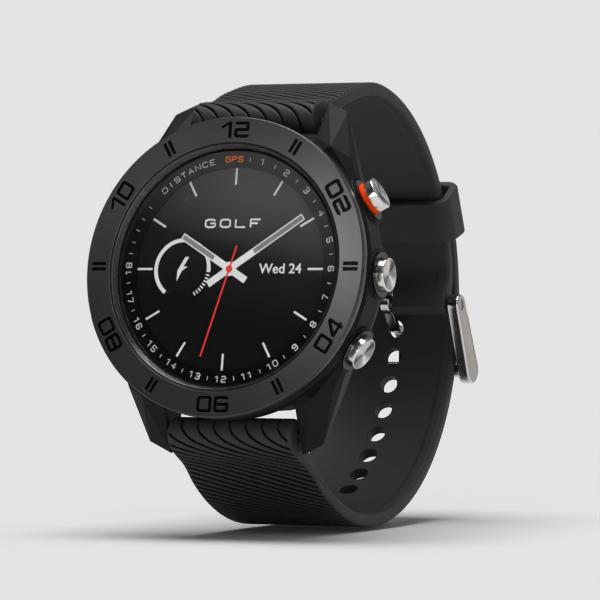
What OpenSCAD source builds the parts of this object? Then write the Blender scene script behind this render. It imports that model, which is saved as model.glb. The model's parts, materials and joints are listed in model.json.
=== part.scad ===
/* [Case] */
// Largest radius of the case wall
case_r = 21.2; // [20.6:0.1:25.6]
// Radius of the cavity inside the case
cavity_r = 17.4; // [14.4:0.1:18]
// Height of the case's shoulder under the bezel, from the back face
case_top = 9.3; // [8.6:0.1:11.4]
// Play between the strap and each lug
lug_play = 0.3; // [0.2:0.05:0.5]
// Thickness of the case wall left between the lugs
lug_wall = 1.4; // [1.1:0.1:2]
// Height of the strap bar's axis above the back face
bar_h = 2.9; // [2.4:0.1:3.5]
// Distance of each strap bar's axis outside the case wall
bar_gap = 1.4; // [1:0.1:2.4]
// Depth of the bar's holes in the lugs
bar_hole_depth = 1.2; // [1:0.1:1.6]

/* [Bezel] */
// Overhang of the bezel past the case wall
bezel_over = 0.3; // [0:0.1:0.8]
// Height of the bezel above the case's shoulder
bezel_h = 2.66; // [2.2:0.02:3.2]
// Radius of the bore that holds the lens ring
bezel_bore_r = 17.8; // [17.6:0.1:18.4]
// Radius of the circle that the engraved hour numbers sit on
number_r = 19.6; // [19.5:0.05:20]
// Height of an hour number
number_h = 2.4; // [1.6:0.1:2.6]
// Depth of the engraving
engrave_depth = 0.25; // [0.1:0.05:0.4]

/* [Lens and display] */
// Radius of the glass lens
lens_r = 16.95; // [16.5:0.05:17]
// Thickness of the glass lens
lens_t = 1.4; // [0.8:0.1:1.6]
// Radius of the display panel
panel_r = 15.2; // [14:0.1:15.6]
// Thickness of the display panel
panel_t = 0.85; // [0.6:0.05:1]
// Thickness of the backlight
backlight_t = 0.7; // [0.4:0.1:0.8]
// Inner radius of the printed border under the lens
border_inner_r = 14.55; // [13.5:0.05:15]

/* [Inside] */
// Thickness of the rear cover's plate
cover_t = 1.2; // [1:0.1:1.25]
// Radius of the rear cover
cover_r = 18.2; // [17.9:0.1:18.3]
// Length of the battery
battery_l = 19; // [14:0.5:22]
// Width of the battery
battery_w = 18; // [14:0.5:20]
// Thickness of the battery
battery_t = 3.9; // [2.5:0.1:4]
// Thickness of the main board
board_t = 0.6; // [0.4:0.1:0.8]
// Radius of the main board
board_r = 15.8; // [15:0.1:15.9]

/* [Buttons] */
// Radius of a button's cap
cap_r = 2.4; // [1.9:0.1:2.5]
// Height of the buttons' axes above the back face
button_h = 5.2; // [5:0.05:5.3]
// Angle between two neighbouring buttons
button_step = 30; // [26:1:36]
// Height of the middle and lower buttons' end faces above the case wall
cap_proud = 1.5; // [1.2:0.1:2.8]
// Height of the top button's end face above the case wall
top_cap_proud = 2.4; // [1.2:0.1:3.4]
// Travel of a button
button_travel = 0.7; // [0.4:0.1:0.75]
// Radius of a button's shaft
shaft_r = 0.8; // [0.7:0.05:0.9]

/* [Strap] */
// Width of the strap
strap_w = 20; // [16:0.5:24]
// Thickness of the strap away from its ends
strap_t = 1.9; // [1.5:0.05:2.2]
// Outer radius of the upper strap's arc
upper_r = 32.2; // [31.5:0.1:34]
// Outer radius of the lower strap's arc
lower_r = 32.6; // [32:0.1:34.5]
// Distance of the upper arc's centre behind the case back
arc_y = 17.2; // [16.5:0.1:19]
// Gap between the two straps where they overlap
lap_gap = 0.3; // [0.2:0.05:0.4]
// Radius of the strap's rolled ends at the lugs
roll_r = 2.4; // [2.3:0.05:2.8]
// Radius of the strap's adjustment holes
hole_r = 1.4; // [1.35:0.05:1.6]
// Distance between two holes along the strap
hole_pitch = 4.67; // [4.2:0.05:6]
// Angle around the upper arc at which the tail ends
tail_a = 35; // [33:1:38]

/* [Buckle and keeper] */
// Radius of the buckle's pin
pin_r = 0.75; // [0.6:0.05:0.85]
// Radius of the rolled strap end around the buckle's pin
pin_roll_r = 1.65; // [1.55:0.05:1.8]
// Thickness of a buckle arm
arm_t = 1.8; // [1.2:0.1:2.2]
// Radius of the buckle's crossbar
crossbar_r = 1.1; // [0.9:0.05:1.2]
// Width of the buckle's tongue
tongue_w = 1.6; // [1.3:0.1:1.8]
// Thickness of the buckle's tongue
tongue_t = 1.0; // [0.8:0.05:1.1]
// Length of the keeper along the strap
keeper_l = 7.8; // [5:0.1:8]
// Thickness of the keeper's wall
keeper_t = 1.4; // [0.8:0.05:1.4]
// Angle of the keeper around the upper arc
keeper_a = 34; // [30:1:34]

/* [Fits] */
// Radial clearance of a shaft in its bore
run_fit = 0.05; // [0.03:0.01:0.08]
// Clearance of a piece that is pressed or seated in another
seat_fit = 0.02; // [0.01:0.01:0.04]
// Clearance between the strap and what it moves in
soft_fit = 0.15; // [0.12:0.01:0.25]
// Clearance of the strap's roll in the case
roll_fit = 0.35; // [0.2:0.05:0.6]

/* [Hidden] */
$fn = 64;
over = 1; // how far a cutter runs past what it cuts

// Sizes that follow the case and the strap
lug_gap = strap_w + 2 * lug_play;
bar_out = case_r + bar_gap;
bezel_r = case_r + bezel_over;
cap_out = case_r + cap_proud;
top_cap_out = case_r + top_cap_proud;

// Heights in the head, up from the back face
gap_under_bezel = 0.04;
bezel_z = case_top + gap_under_bezel;
face_z = bezel_z + bezel_h;
flange_t = 0.4;
flange_z = case_top - flange_t;
ring_ledge_z = flange_z + 0.3;
lens_gasket_t = 0.15;
border_z = ring_ledge_z + lens_gasket_t;
border_t = 0.2;
lens_z = border_z + border_t;
panel_z = border_z - 0.05 - panel_t;
backlight_z = panel_z - seat_fit - backlight_t;
frame_floor_t = 0.35;
frame_z = backlight_z - seat_fit - frame_floor_t;
board_z = button_h + 0.7;
board_top = board_z + board_t;

// Rear cover
cover_flange_z = 1.3;
cover_ledge_z = 1.6;
cover_fit = 0.1;
lip_out = cavity_r - cover_fit;
lip_w = 0.9;
lip_z = 1.9;
ear_a = 52;
ear_out = cover_r + 0.1;
ear_r = 1.5;
screw_r = 0.6;
screw_l = 3;
rear_rim_z = 0.4;

// Screws that hold the board and the display frame
post_out = cavity_r - 1.2;
post_r = 1.2;
post_z = 2.1;
post_angles = [75, 195, 315];
post_screw_r = 0.5;
post_head_r = 0.85;
post_head_t = 0.5;

// Buttons, distances from the centre of the case
rest_out = case_r + 0.1;
pocket_depth = 1.8;
pocket_out = case_r - pocket_depth;
spring_room = button_travel + 0.1;
cap_in = pocket_out + spring_room;
sleeve_in_r = cap_r + 0.08;
sleeve_t = 0.42;
sleeve_out_r = sleeve_in_r + sleeve_t;
rim_r = sleeve_out_r + 0.3;
rim_t = 0.25;
boss_r = rim_r + 0.4;
cap_web = 1.0;
clip_out = cavity_r - 0.18;
clip_t = 0.2;
clip_r = 1.25;
neck_r = shaft_r - 0.3;
oring_out = pocket_out - 0.9;
oring_wire = 0.14;
shaft_in = clip_out - 0.62;
collar_in = rest_out + 0.15;
collar_l = 0.8;
collar_t = 0.3;
button_spring_r = cap_r - 0.95;
spring_wire = 0.14;

// Strap bars
bar_r = 0.9;
bar_wall = 0.28;
bar_tip_r = 0.5;
bar_len = strap_w - 0.4;
tip_reach = lug_gap / 2 + bar_hole_depth - 0.3;
release_travel = 1.2;
release_in = 4.4;
lever_x = 6.8;
lever_w = 0.7;
lever_out = 2.4;
bar_z = bar_out;
bar_y = -bar_h;

// Strap arcs, in the plane across the wrist
roll_y = -4;
roll_z = bar_out + 0.2;
mid_r = upper_r - strap_t / 2;
tail_r = upper_r + lap_gap + strap_t;
low_y = arc_y + tail_r - lower_r;
low_mid_r = lower_r - strap_t / 2;
roll_a = atan2(roll_z, roll_y - arc_y);
roll_d = norm([roll_z, roll_y - arc_y]);
low_roll_a = atan2(roll_z, roll_y - low_y);
low_roll_d = norm([roll_z, roll_y - low_y]);
pin_a = 8.76;
pin_d = mid_r - 1.71;
pin_y = arc_y + pin_d * cos(pin_a);
pin_z = pin_d * sin(pin_a);
pin_blend_a = 20;
lug_blend_a = 117.5;
lug_dip = 0.8; // how far the upper strap bends in before its roll
lug_dip_a = 92;
step_a = 2;
roll_step = 0.04; // a strap's band is this much thinner than the roll it runs into
notch_w = tongue_w + 1;
tongue_a = 2.5;
hole_count = 8;
tail_rest = 3; // strap left between the last hole and the tail's end
tail_holes = floor(((tail_a - tongue_a) * PI / 180 * tail_r - hole_r - tail_rest) / hole_pitch);
tail_corner = 6;

// Buckle
crossbar_d = lower_r + crossbar_r + 0.35;
crossbar_z = -4.5;
crossbar_y = low_y + sqrt(crossbar_d * crossbar_d - crossbar_z * crossbar_z);
arm_x = strap_w / 2 + 0.45;
arm_pin_r = 1.6;
arm_end_r = 2.0;
tongue_loop_r = 1.4;

// Keeper
keeper_half_a = keeper_l / 2 / tail_r * 180 / PI;
keeper_low = upper_r - strap_t - soft_fit;
keeper_high = tail_r + soft_fit;

// Rises from 0 to 1 with level ends as t goes from 0 to 1.
function smooth(t) = let (u = min(1, max(0, t))) u * u * (3 - 2 * u);
// The same with a slower start, for the neck between a strap's band and its roll.
function neck(a, end) = pow(smooth((a - lug_blend_a) / (end - lug_blend_a)), 2);
// A point at radius r and angle a about the centre [cy, 0].
function on_arc(cy, r, a) = [cy + r * cos(a), r * sin(a)];
// Middle radius and thickness of the upper strap at angle a.
function upper_mid(a) = mid_r
    + (pin_d - mid_r) * smooth((pin_blend_a - a) / (pin_blend_a - pin_a))
    + (roll_d - mid_r) * neck(a, roll_a)
    - lug_dip * smooth((a - lug_dip_a) / 20) * (1 - neck(a, roll_a));
function upper_thick(a) = strap_t
    + (2 * pin_roll_r - roll_step - strap_t) * smooth((pin_blend_a - a) / (pin_blend_a - pin_a))
    + (2 * roll_r - roll_step - strap_t) * neck(a, roll_a);
// Middle radius and thickness of the lower strap at angle a below the wrist's back.
function lower_mid(a) = low_mid_r
    + (low_roll_d - low_mid_r) * neck(a, low_roll_a);
function lower_thick(a) = strap_t
    + (2 * roll_r - roll_step - strap_t) * neck(a, low_roll_a);
function steps(from, to) = [for (i = [0 : ceil(abs(to - from) / step_a)])
    from + (to - from) * i / ceil(abs(to - from) / step_a)];
function backwards(list) = [for (i = [len(list) - 1 : -1 : 0]) list[i]];

// ---- shared shapes ----

// Puts a shape drawn with +Z out of the dial and +Y to 12 o'clock into the watch's frame.
module on_dial() { rotate([90, 0, 0]) children(); }
// Puts a shape on a button's axis, which is its +Z, at an angle up from 3 o'clock.
module on_button(a) { on_dial() rotate([0, 0, a]) translate([0, 0, button_h]) rotate([0, 90, 0]) children(); }
// Extrudes an outline of the [y, z] plane across the wrist, centred on it.
module across(w) { rotate([90, 0, 90]) linear_extrude(w, center = true) children(); }
// A rod across the wrist from x0 to x1.
module rod(r, x0, x1) { translate([x0, 0, 0]) rotate([0, 90, 0]) cylinder(h = x1 - x0, r = r); }
// A flat ring that stands on height z.
module ring(r_out, r_in, z, h) {
    translate([0, 0, z]) difference() {
        cylinder(h = h, r = r_out);
        translate([0, 0, -over]) cylinder(h = h + 2 * over, r = r_in);
    }
}
// A plate with round corners, centred on the axis, that stands on height z.
module plate(l, w, h, r) {
    for (turn = [0, 90])
        rotate([0, 0, turn])
            translate([-(turn == 0 ? l : w) / 2, -(turn == 0 ? w : l) / 2 + r, 0])
                cube([turn == 0 ? l : w, (turn == 0 ? w : l) - 2 * r, h]);
    for (x = [-1, 1], y = [-1, 1])
        translate([x * (l / 2 - r), y * (w / 2 - r), 0]) cylinder(h = h, r = r, $fn = 32);
}
// An annular sector of the [y, z] plane about the upper arc's centre.
module sector(r_in, r_out, a0, a1) {
    reach = 2 * r_out;
    intersection() {
        translate([arc_y, 0]) difference() {
            circle(r = r_out, $fn = 128);
            circle(r = r_in, $fn = 128);
        }
        polygon([[arc_y, 0], on_arc(arc_y, reach, a0), on_arc(arc_y, reach, a1)]);
    }
}
// A wire coil along +Z: a tube of six sides that follows a helix.
module coil(r, wire, h, turns) {
    sides = 6;
    per_turn = 12;
    n = turns * per_turn;
    function centre(i) = [r * cos(360 * i / per_turn), r * sin(360 * i / per_turn), wire + (h - 2 * wire) * i / n];
    points = [for (i = [0 : n], k = [0 : sides - 1])
        let (c = centre(i), a = 360 * i / per_turn, b = 360 * k / sides)
        c + wire * [cos(b) * cos(a), cos(b) * sin(a), sin(b)]];
    walls = [for (i = [0 : n - 1], k = [0 : sides - 1])
        let (j = (k + 1) % sides) each [
            [i * sides + k, (i + 1) * sides + k, (i + 1) * sides + j],
            [i * sides + k, (i + 1) * sides + j, i * sides + j]
        ]];
    first = [for (k = [1 : sides - 2]) [0, k, k + 1]];
    last = [for (k = [1 : sides - 2]) [n * sides, n * sides + k + 1, n * sides + k]];
    polyhedron(points = points, faces = concat(walls, first, last));
}

// ---- case and bezel ----

lug_x = lug_gap / 2;
lug_tip = bar_out + 2.8;
// Corners of one lug at the upper right, as x, distance to 12 o'clock, height.
lug_corners = [
    [lug_x, lug_tip, bar_h], [lug_x + 3.3, lug_tip - 1.6, bar_h + 0.4],
    [lug_x, case_r - 1.8, 6.4], [lug_x + 3, case_r - 3.2, 7.7], [lug_x + 5.7, case_r - 4.7, 6.6],
    [lug_x, case_r - 4.4, 7.4], [lug_x + 4, case_r - 8.6, 6.8], [case_r - 2.6, case_r - 10.8, 6.5],
    [lug_x, lug_tip - 0.9, 0.9], [lug_x + 2.6, lug_tip - 2.5, 0.8],
    [lug_x, case_r - 4, 0.7], [case_r - 4.4, case_r - 9.8, 1.2]
];
module lug() {
    hull() polyhedron(points = lug_corners, faces = [for (i = [0 : len(lug_corners) - 3]) [i, i + 1, i + 2]]);
}
module case_shell() {
    rotate_extrude($fn = 128) polygon([
        [cavity_r, cover_ledge_z], [cover_r + cover_fit, cover_ledge_z], [cover_r + cover_fit, rear_rim_z],
        [case_r - 2, rear_rim_z], [case_r - 1, 1.6], [case_r, 4.2], [case_r, case_top - 0.9],
        [case_r - 0.3, case_top - 0.4], [case_r - 0.5, case_top - 0.4], [case_r - 0.5, case_top],
        [bezel_bore_r + 0.65, case_top], [bezel_bore_r + 0.65, flange_z], [cavity_r, flange_z]
    ]);
}
module screw_post(a) {
    rotate([0, 0, a]) translate([post_out, 0, post_z]) {
        cylinder(h = board_z - post_z, r = post_r, $fn = 32);
        translate([0, -post_r, 0]) cube([cavity_r - post_out + 0.5, 2 * post_r, board_z - post_z]);
    }
}
module case() {
    color("#1b1c1d") difference() {
        union() {
            on_dial() case_shell();
            for (x = [0, 1], z = [0, 1]) mirror([x, 0, 0]) mirror([0, 0, z]) on_dial() lug_outside();
            on_dial() for (a = post_angles) screw_post(a);
            for (a = [-1 : 1]) on_button(a * button_step)
                translate([0, 0, pocket_out]) cylinder(h = rest_out - pocket_out, r = boss_r);
        }
        for (a = [-1 : 1]) on_button(a * button_step) {
            translate([0, 0, pocket_out]) cylinder(h = rest_out - pocket_out + over, r = sleeve_out_r + seat_fit);
            translate([0, 0, rest_out]) cylinder(h = 4 * over, r = rim_r + cover_fit);
            translate([0, 0, cavity_r - over]) cylinder(h = pocket_out - cavity_r + 2 * over, r = shaft_r + run_fit);
        }
        for (z = [-1, 1]) {
            translate([-lug_x, -(flange_z - 2), z > 0 ? cavity_r + lug_wall : -cavity_r - lug_wall - 10])
                cube([lug_gap, flange_z + over, 10]);
            translate([0, bar_y, z * bar_z])
                rod(bar_tip_r + run_fit, -lug_x - bar_hole_depth, lug_x + bar_hole_depth);
        }
        on_dial() {
            ring(19.7, 18.9, case_top - 0.25, over);
            for (a = post_angles) rotate([0, 0, a]) translate([post_out, 0, board_z - 2.8])
                cylinder(h = 2.8 + over, r = post_screw_r + seat_fit, $fn = 32);
            for (a = ear_angles) rotate([0, 0, a]) translate([ear_out, 0, 0]) {
                translate([0, 0, -over]) cylinder(h = cover_flange_z + over + seat_fit, r = ear_r + cover_fit);
                cylinder(h = cover_flange_z + screw_l, r = screw_r + seat_fit, $fn = 32);
            }
        }
    }
}
// A lug without what would reach into the cavity.
module lug_outside() {
    difference() {
        lug();
        cylinder(h = 3 * case_top, r = cavity_r + 0.6, center = true, $fn = 128);
    }
}
ear_angles = [ear_a, 180 - ear_a, 180 + ear_a, -ear_a];

// Strokes of a squared digit in a box of height h: an outline with round corners, and its gaps.
module round_box(w, h, r) {
    translate([-w / 2 + r, -h / 2]) square([w - 2 * r, h]);
    translate([-w / 2, -h / 2 + r]) square([w, h - 2 * r]);
    for (x = [-1, 1], y = [-1, 1]) translate([x * (w / 2 - r), y * (h / 2 - r)]) circle(r = r, $fn = 24);
}
stroke = 0.5;
digit_w = number_h * 0.98;
module digit(d) {
    h = number_h;
    w = digit_w;
    if (d == 1) {
        translate([w / 2 - stroke - 0.1, -h / 2]) square([stroke, h]);
        polygon([[w / 2 - 0.1, h / 2], [w / 2 - 0.1 - stroke, h / 2], [-w / 2 + 0.45, h / 2 - 0.75],
            [-w / 2 + 0.75, h / 2 - 1.05], [w / 2 - 0.1 - stroke, h / 2 - 0.5]]);
    } else if (d == 4) {
        translate([w / 2 - 0.75, -h / 2]) square([stroke, h]);
        translate([-w / 2, -h / 2 + 0.3]) square([w, stroke * 0.85]);
        polygon([[-w / 2, -h / 2 + 0.3], [-w / 2, -h / 2 + 0.72], [w / 2 - 0.75, h / 2],
            [w / 2 - 0.75, h / 2 - 0.62], [-w / 2 + 0.6, -h / 2 + 0.6]]);
    } else {
        difference() {
            round_box(w, h, 0.5);
            round_box(w - 2 * stroke, h - 2 * stroke, 0.16);
            if (d == 2) {
                translate([-w / 2 - over, 0]) square([over + stroke, h / 2 - stroke]);
                translate([w / 2 - stroke, -h / 2 + stroke]) square([over + stroke, h / 2 - stroke]);
            }
            if (d == 6) translate([w / 2 - stroke, stroke / 2]) square([over + stroke, h / 2 - 1.5 * stroke]);
        }
        if (d != 0) translate([-w / 2 + 0.1, -stroke / 2]) square([w - 0.2, stroke]);
    }
}
module hour_number(tens, ones) {
    translate([-digit_w / 2 - 0.15, 0]) digit(tens);
    translate([digit_w / 2 + 0.15, 0]) digit(ones);
}
numbers = [[0, 1, 2, 0], [2, 0, 2, 0], [4, 0, 4, 180], [6, 0, 6, 180], [8, 0, 8, 180], [10, 1, 0, 0]];
module bezel() {
    color("#2a2b2d") on_dial() difference() {
        rotate_extrude($fn = 180) polygon([
            [bezel_bore_r, bezel_z], [bezel_bore_r, face_z - 0.08], [bezel_bore_r + 0.08, face_z],
            [bezel_r - 0.14, face_z], [bezel_r - 0.02, face_z - 0.12], [bezel_r - 0.02, face_z - 0.3],
            [bezel_r - 0.24, face_z - 0.36], [bezel_r - 0.24, face_z - 0.5], [bezel_r, face_z - 0.56],
            [bezel_r, face_z - 1.2], [bezel_r - 0.3, face_z - 1.6], [bezel_r - 0.4, bezel_z + 0.3],
            [bezel_r - 0.7, bezel_z]
        ]);
        translate([0, 0, face_z - engrave_depth]) linear_extrude(over) {
            for (n = numbers) rotate(-30 * n[0]) translate([0, number_r])
                rotate(n[3]) hour_number(n[1], n[2]);
            for (hour = [1 : 2 : 11], side = [-1, 1])
                rotate(-30 * hour) translate([side * 0.39 - 0.25, number_r - 1.1]) square([0.5, 2.2]);
        }
    }
}
module bezel_gasket() {
    color("#111111") on_dial() ring(19.65, 18.95, case_top - 0.24, 0.24 + gap_under_bezel / 2);
}

// ---- lens and display ----

module lens_ring() {
    out_r = bezel_bore_r - run_fit;
    in_r = lens_r + 0.08;
    color("#8b8e92") on_dial() rotate_extrude($fn = 180) polygon([
        [panel_r + 0.7, flange_z], [bezel_bore_r + 0.6, flange_z], [bezel_bore_r + 0.6, case_top],
        [out_r, case_top], [out_r, face_z - 0.02], [out_r - 0.22, face_z - 0.02],
        [out_r - 0.3, face_z - 0.14], [in_r, lens_z + lens_t - 0.05], [in_r, ring_ledge_z], [panel_r + 0.7, ring_ledge_z]
    ]);
}
module lens() {
    color("#c8d2d8", 0.35) on_dial() rotate_extrude($fn = 180) polygon([
        [0, lens_z], [lens_r, lens_z], [lens_r, lens_z + lens_t - 0.15], [lens_r - 0.15, lens_z + lens_t],
        [0, lens_z + lens_t]
    ]);
}
module lens_gasket() { color("#151515") on_dial() ring(lens_r, panel_r + 0.8, ring_ledge_z, lens_gasket_t); }
module dial_border() { color("#0a0a0a") on_dial() ring(lens_r, border_inner_r, border_z, border_t); }
module display_panel() { color("#1d1f22") on_dial() translate([0, 0, panel_z]) cylinder(h = panel_t, r = panel_r, $fn = 128); }
module backlight() {
    color("#e8e8e4") on_dial() translate([0, 0, backlight_z]) cylinder(h = backlight_t, r = panel_r - 0.1, $fn = 128);
}
module display_frame() {
    top = flange_z - 0.05;
    color("#3a3c3e") on_dial() difference() {
        union() {
            translate([0, 0, frame_z]) cylinder(h = top - frame_z, r = cavity_r - 0.2, $fn = 128);
            for (a = post_angles) rotate([0, 0, a]) translate([post_out, 0, board_top])
                cylinder(h = frame_z - board_top + frame_floor_t, r = 1.0, $fn = 32);
        }
        translate([0, 0, frame_z + frame_floor_t]) cylinder(h = 3, r = panel_r + 0.05, $fn = 128);
        translate([-3.4, -panel_r - 0.6, frame_z - over]) cube([6.8, 1.4, 4]);
        for (a = post_angles) rotate([0, 0, a]) translate([post_out, 0, board_top - over]) {
            cylinder(h = 6, r = post_screw_r + seat_fit, $fn = 32);
            translate([0, 0, over + top - post_head_t - 0.05 - board_top]) cylinder(h = 3, r = post_head_r + 0.05, $fn = 32);
        }
    }
}
module chassis_screws() {
    top = flange_z - 0.05;
    color("#a8acb0") on_dial() for (a = post_angles) rotate([0, 0, a]) translate([post_out, 0, 0]) {
        translate([0, 0, top - post_head_t - 0.05]) cylinder(h = post_head_t, r = post_head_r, $fn = 32);
        translate([0, 0, board_z - 2.6]) cylinder(h = top - board_z + 2.2, r = post_screw_r, $fn = 32);
    }
}
// A ribbon that leaves the panel's edge, turns down through the frame and lies on the board.
module flex_cable() {
    t = 0.12;
    edge = panel_r + 0.02;
    bend = edge + 0.3;
    color("#b8702c") on_dial() rotate([90, 0, -90]) linear_extrude(6, center = true) polygon([
        [edge, panel_z + 0.1], [bend + t, panel_z + 0.1], [bend + t, board_top + 0.02], [edge - 3, board_top + 0.02],
        [edge - 3, board_top + 0.02 + t], [bend, board_top + 0.02 + t], [bend, panel_z + 0.1 - t], [edge, panel_z + 0.1 - t]
    ]);
}

// ---- electronics ----

module main_board() {
    color("#1f5b3a") on_dial() translate([0, 0, board_z]) difference() {
        union() {
            cylinder(h = board_t, r = board_r, $fn = 96);
            for (a = post_angles) rotate([0, 0, a]) translate([post_out, 0, 0]) cylinder(h = board_t, r = 1.1, $fn = 32);
        }
        for (a = post_angles) rotate([0, 0, a]) translate([post_out, 0, -over])
            cylinder(h = board_t + 2 * over, r = post_screw_r + seat_fit, $fn = 32);
    }
}
// Each chip as its middle, length, width and height.
chips = [[-7, 3, 6, 6, 0.75], [1.5, 0.5, 5, 5, 0.7], [8.5, 3, 4, 3, 0.6], [-4, -5.5, 7, 3.5, 0.7], [7, -6, 3.2, 2.5, 0.6],
    [-9.5, -3, 2, 1.2, 0.5], [0, -11.2, 5, 2, 0.5]];
module board_components() {
    color("#17181a") on_dial() for (c = chips) translate([c[0] - c[2] / 2, c[1] - c[3] / 2, board_top]) cube([c[2], c[3], c[4]]);
}
module gps_antenna() { color("#c9b48a") on_dial() translate([0, 10.2, board_top]) plate(9, 7, 0.85, 0.8); }
module button_switches() {
    in_r = shaft_in - button_travel - 0.05;
    color("#d6d4cc") for (a = [-1 : 1]) on_button(a * button_step) {
        translate([-0.7, -1.5, in_r - 2.2]) cube([1.45, 3, 1.75]);
        translate([0, 0, in_r - 0.5]) cylinder(h = 0.5, r = 0.5, $fn = 24);
    }
}
module battery() {
    color("#9aa1a6") on_dial() translate([-3.6, 0, cover_t + 0.1]) plate(battery_l, battery_w, battery_t, 1.5);
}
module vibration_motor() {
    color("#b9bcbf") on_dial() translate([10.9, 0, cover_t + 0.1]) cylinder(h = 2.7, r = 4);
}
contact_xs = [-3, -1, 1, 3];
contact_y = -12.4;
module contact_block() {
    color("#26282a") on_dial() difference() {
        translate([-4.2, contact_y - 1.6, cover_t + 0.02]) cube([8.4, 3.2, 1.8]);
        for (x = contact_xs) translate([x, contact_y, 0]) cylinder(h = 2.7, r = 0.4, $fn = 24);
    }
}
module charge_contacts() {
    color("#d9b25a") on_dial() for (x = contact_xs) translate([x, contact_y, 0.05]) {
        cylinder(h = 0.6, r = 0.65, $fn = 32);
        cylinder(h = 2.6, r = 0.4 - seat_fit, $fn = 24);
    }
}

// ---- back ----

module rear_cover() {
    color("#202123") on_dial() difference() {
        union() {
            rotate_extrude($fn = 128) polygon([
                [0, 0], [cover_r - 1.2, 0], [cover_r, 0.8], [cover_r, cover_flange_z], [lip_out, cover_flange_z],
                [lip_out, lip_z], [lip_out - lip_w, lip_z], [lip_out - lip_w, cover_t], [0, cover_t]
            ]);
            for (a = ear_angles) rotate([0, 0, a]) translate([ear_out, 0, 0.5]) cylinder(h = cover_flange_z - 0.5, r = ear_r);
        }
        for (a = ear_angles) rotate([0, 0, a]) translate([ear_out, 0, -over]) {
            cylinder(h = 4, r = screw_r + seat_fit, $fn = 32);
            cylinder(h = over + 0.85, r = 1.1 + seat_fit, $fn = 32);
        }
        for (x = contact_xs) translate([x, contact_y, -over]) {
            cylinder(h = 4, r = 0.4, $fn = 24);
            cylinder(h = over + 0.65, r = 0.65 + seat_fit, $fn = 32);
        }
    }
}
module rear_gasket() {
    color("#111111") on_dial() difference() {
        ring(cover_r - 0.1, lip_out + 0.15, cover_flange_z + seat_fit, cover_ledge_z - cover_flange_z - 2 * seat_fit);
        for (a = ear_angles) rotate([0, 0, a]) translate([ear_out, 0, 0]) cylinder(h = 3, r = screw_r + 0.2, $fn = 32);
    }
}
module rear_screws() {
    color("#8f9296") on_dial() for (a = ear_angles) rotate([0, 0, a]) translate([ear_out, 0, 0]) difference() {
        union() {
            translate([0, 0, 0.3]) cylinder(h = 0.55, r = 1.1, $fn = 32);
            translate([0, 0, 0.3]) cylinder(h = cover_flange_z + screw_l - 0.6, r = screw_r, $fn = 32);
        }
        cylinder(h = 0.6, r = 0.45, $fn = 6);
    }
}

// ---- buttons ----

module sleeve(a) {
    color("#a9adb1") on_button(a) difference() {
        union() {
            translate([0, 0, pocket_out]) cylinder(h = rest_out - pocket_out, r = sleeve_out_r);
            translate([0, 0, rest_out]) cylinder(h = rim_t, r = rim_r);
        }
        translate([0, 0, pocket_out - over]) cylinder(h = 5, r = sleeve_in_r);
    }
}
// A cap with its shaft; collar says whether it has a groove for a coloured ring.
module button(a, end, collar) {
    chamfer = 0.22;
    color("#b5b8bb") on_button(a) difference() {
        rotate_extrude() polygon([
            [0, shaft_in], [shaft_r - 0.15, shaft_in], [shaft_r, shaft_in + 0.15], [shaft_r, clip_out - clip_t - 0.02],
            [neck_r, clip_out - clip_t - 0.02], [neck_r, clip_out + 0.02], [shaft_r, clip_out + 0.02],
            [shaft_r, oring_out - 0.3], [neck_r, oring_out - 0.3], [neck_r, oring_out + 0.3], [shaft_r, oring_out + 0.3],
            [shaft_r, end - cap_web], [cap_r - 0.45, end - cap_web], [cap_r - 0.45, cap_in], [cap_r, cap_in],
            [cap_r, end - chamfer], [cap_r - chamfer, end], [0, end]
        ]);
        if (collar) translate([0, 0, collar_in]) difference() {
            cylinder(h = collar_l, r = cap_r + over);
            translate([0, 0, -over]) cylinder(h = collar_l + 2 * over, r = cap_r - collar_t);
        }
    }
}
module button_oring(a) {
    color("#101010") on_button(a) translate([0, 0, oring_out]) rotate_extrude()
        translate([neck_r + seat_fit + oring_wire, 0]) circle(r = oring_wire, $fn = 24);
}
module button_clip(a) {
    color("#7c8084") on_button(a) translate([0, 0, clip_out - clip_t]) difference() {
        cylinder(h = clip_t, r = clip_r, $fn = 48);
        translate([0, 0, -over]) cylinder(h = 3, r = neck_r + seat_fit, $fn = 32);
        translate([0, -neck_r * 0.7, -over]) cube([clip_r + over, neck_r * 1.4, 3]);
    }
}
module button_spring(a, end) {
    color("#8d9093") on_button(a) translate([0, 0, pocket_out + seat_fit])
        coil(button_spring_r, spring_wire, end - cap_web - pocket_out - 2 * seat_fit, 4);
}
module top_sleeve() { sleeve(button_step); }
module top_button() { button(button_step, top_cap_out, true); }
module top_button_ring() {
    color("#f0560f") on_button(button_step)
        ring(cap_r - seat_fit, cap_r - collar_t + seat_fit, collar_in + seat_fit, collar_l - 2 * seat_fit);
}
module top_oring() { button_oring(button_step); }
module top_clip() { button_clip(button_step); }
module top_spring() { button_spring(button_step, top_cap_out); }
module middle_sleeve() { sleeve(0); }
module middle_button() { button(0, cap_out, false); }
module middle_oring() { button_oring(0); }
module middle_clip() { button_clip(0); }
module middle_spring() { button_spring(0, cap_out); }
module bottom_sleeve() { sleeve(-button_step); }
module bottom_button() { button(-button_step, cap_out, false); }
module bottom_oring() { button_oring(-button_step); }
module bottom_clip() { button_clip(-button_step); }
module bottom_spring() { button_spring(-button_step, cap_out); }

// ---- straps ----

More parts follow.
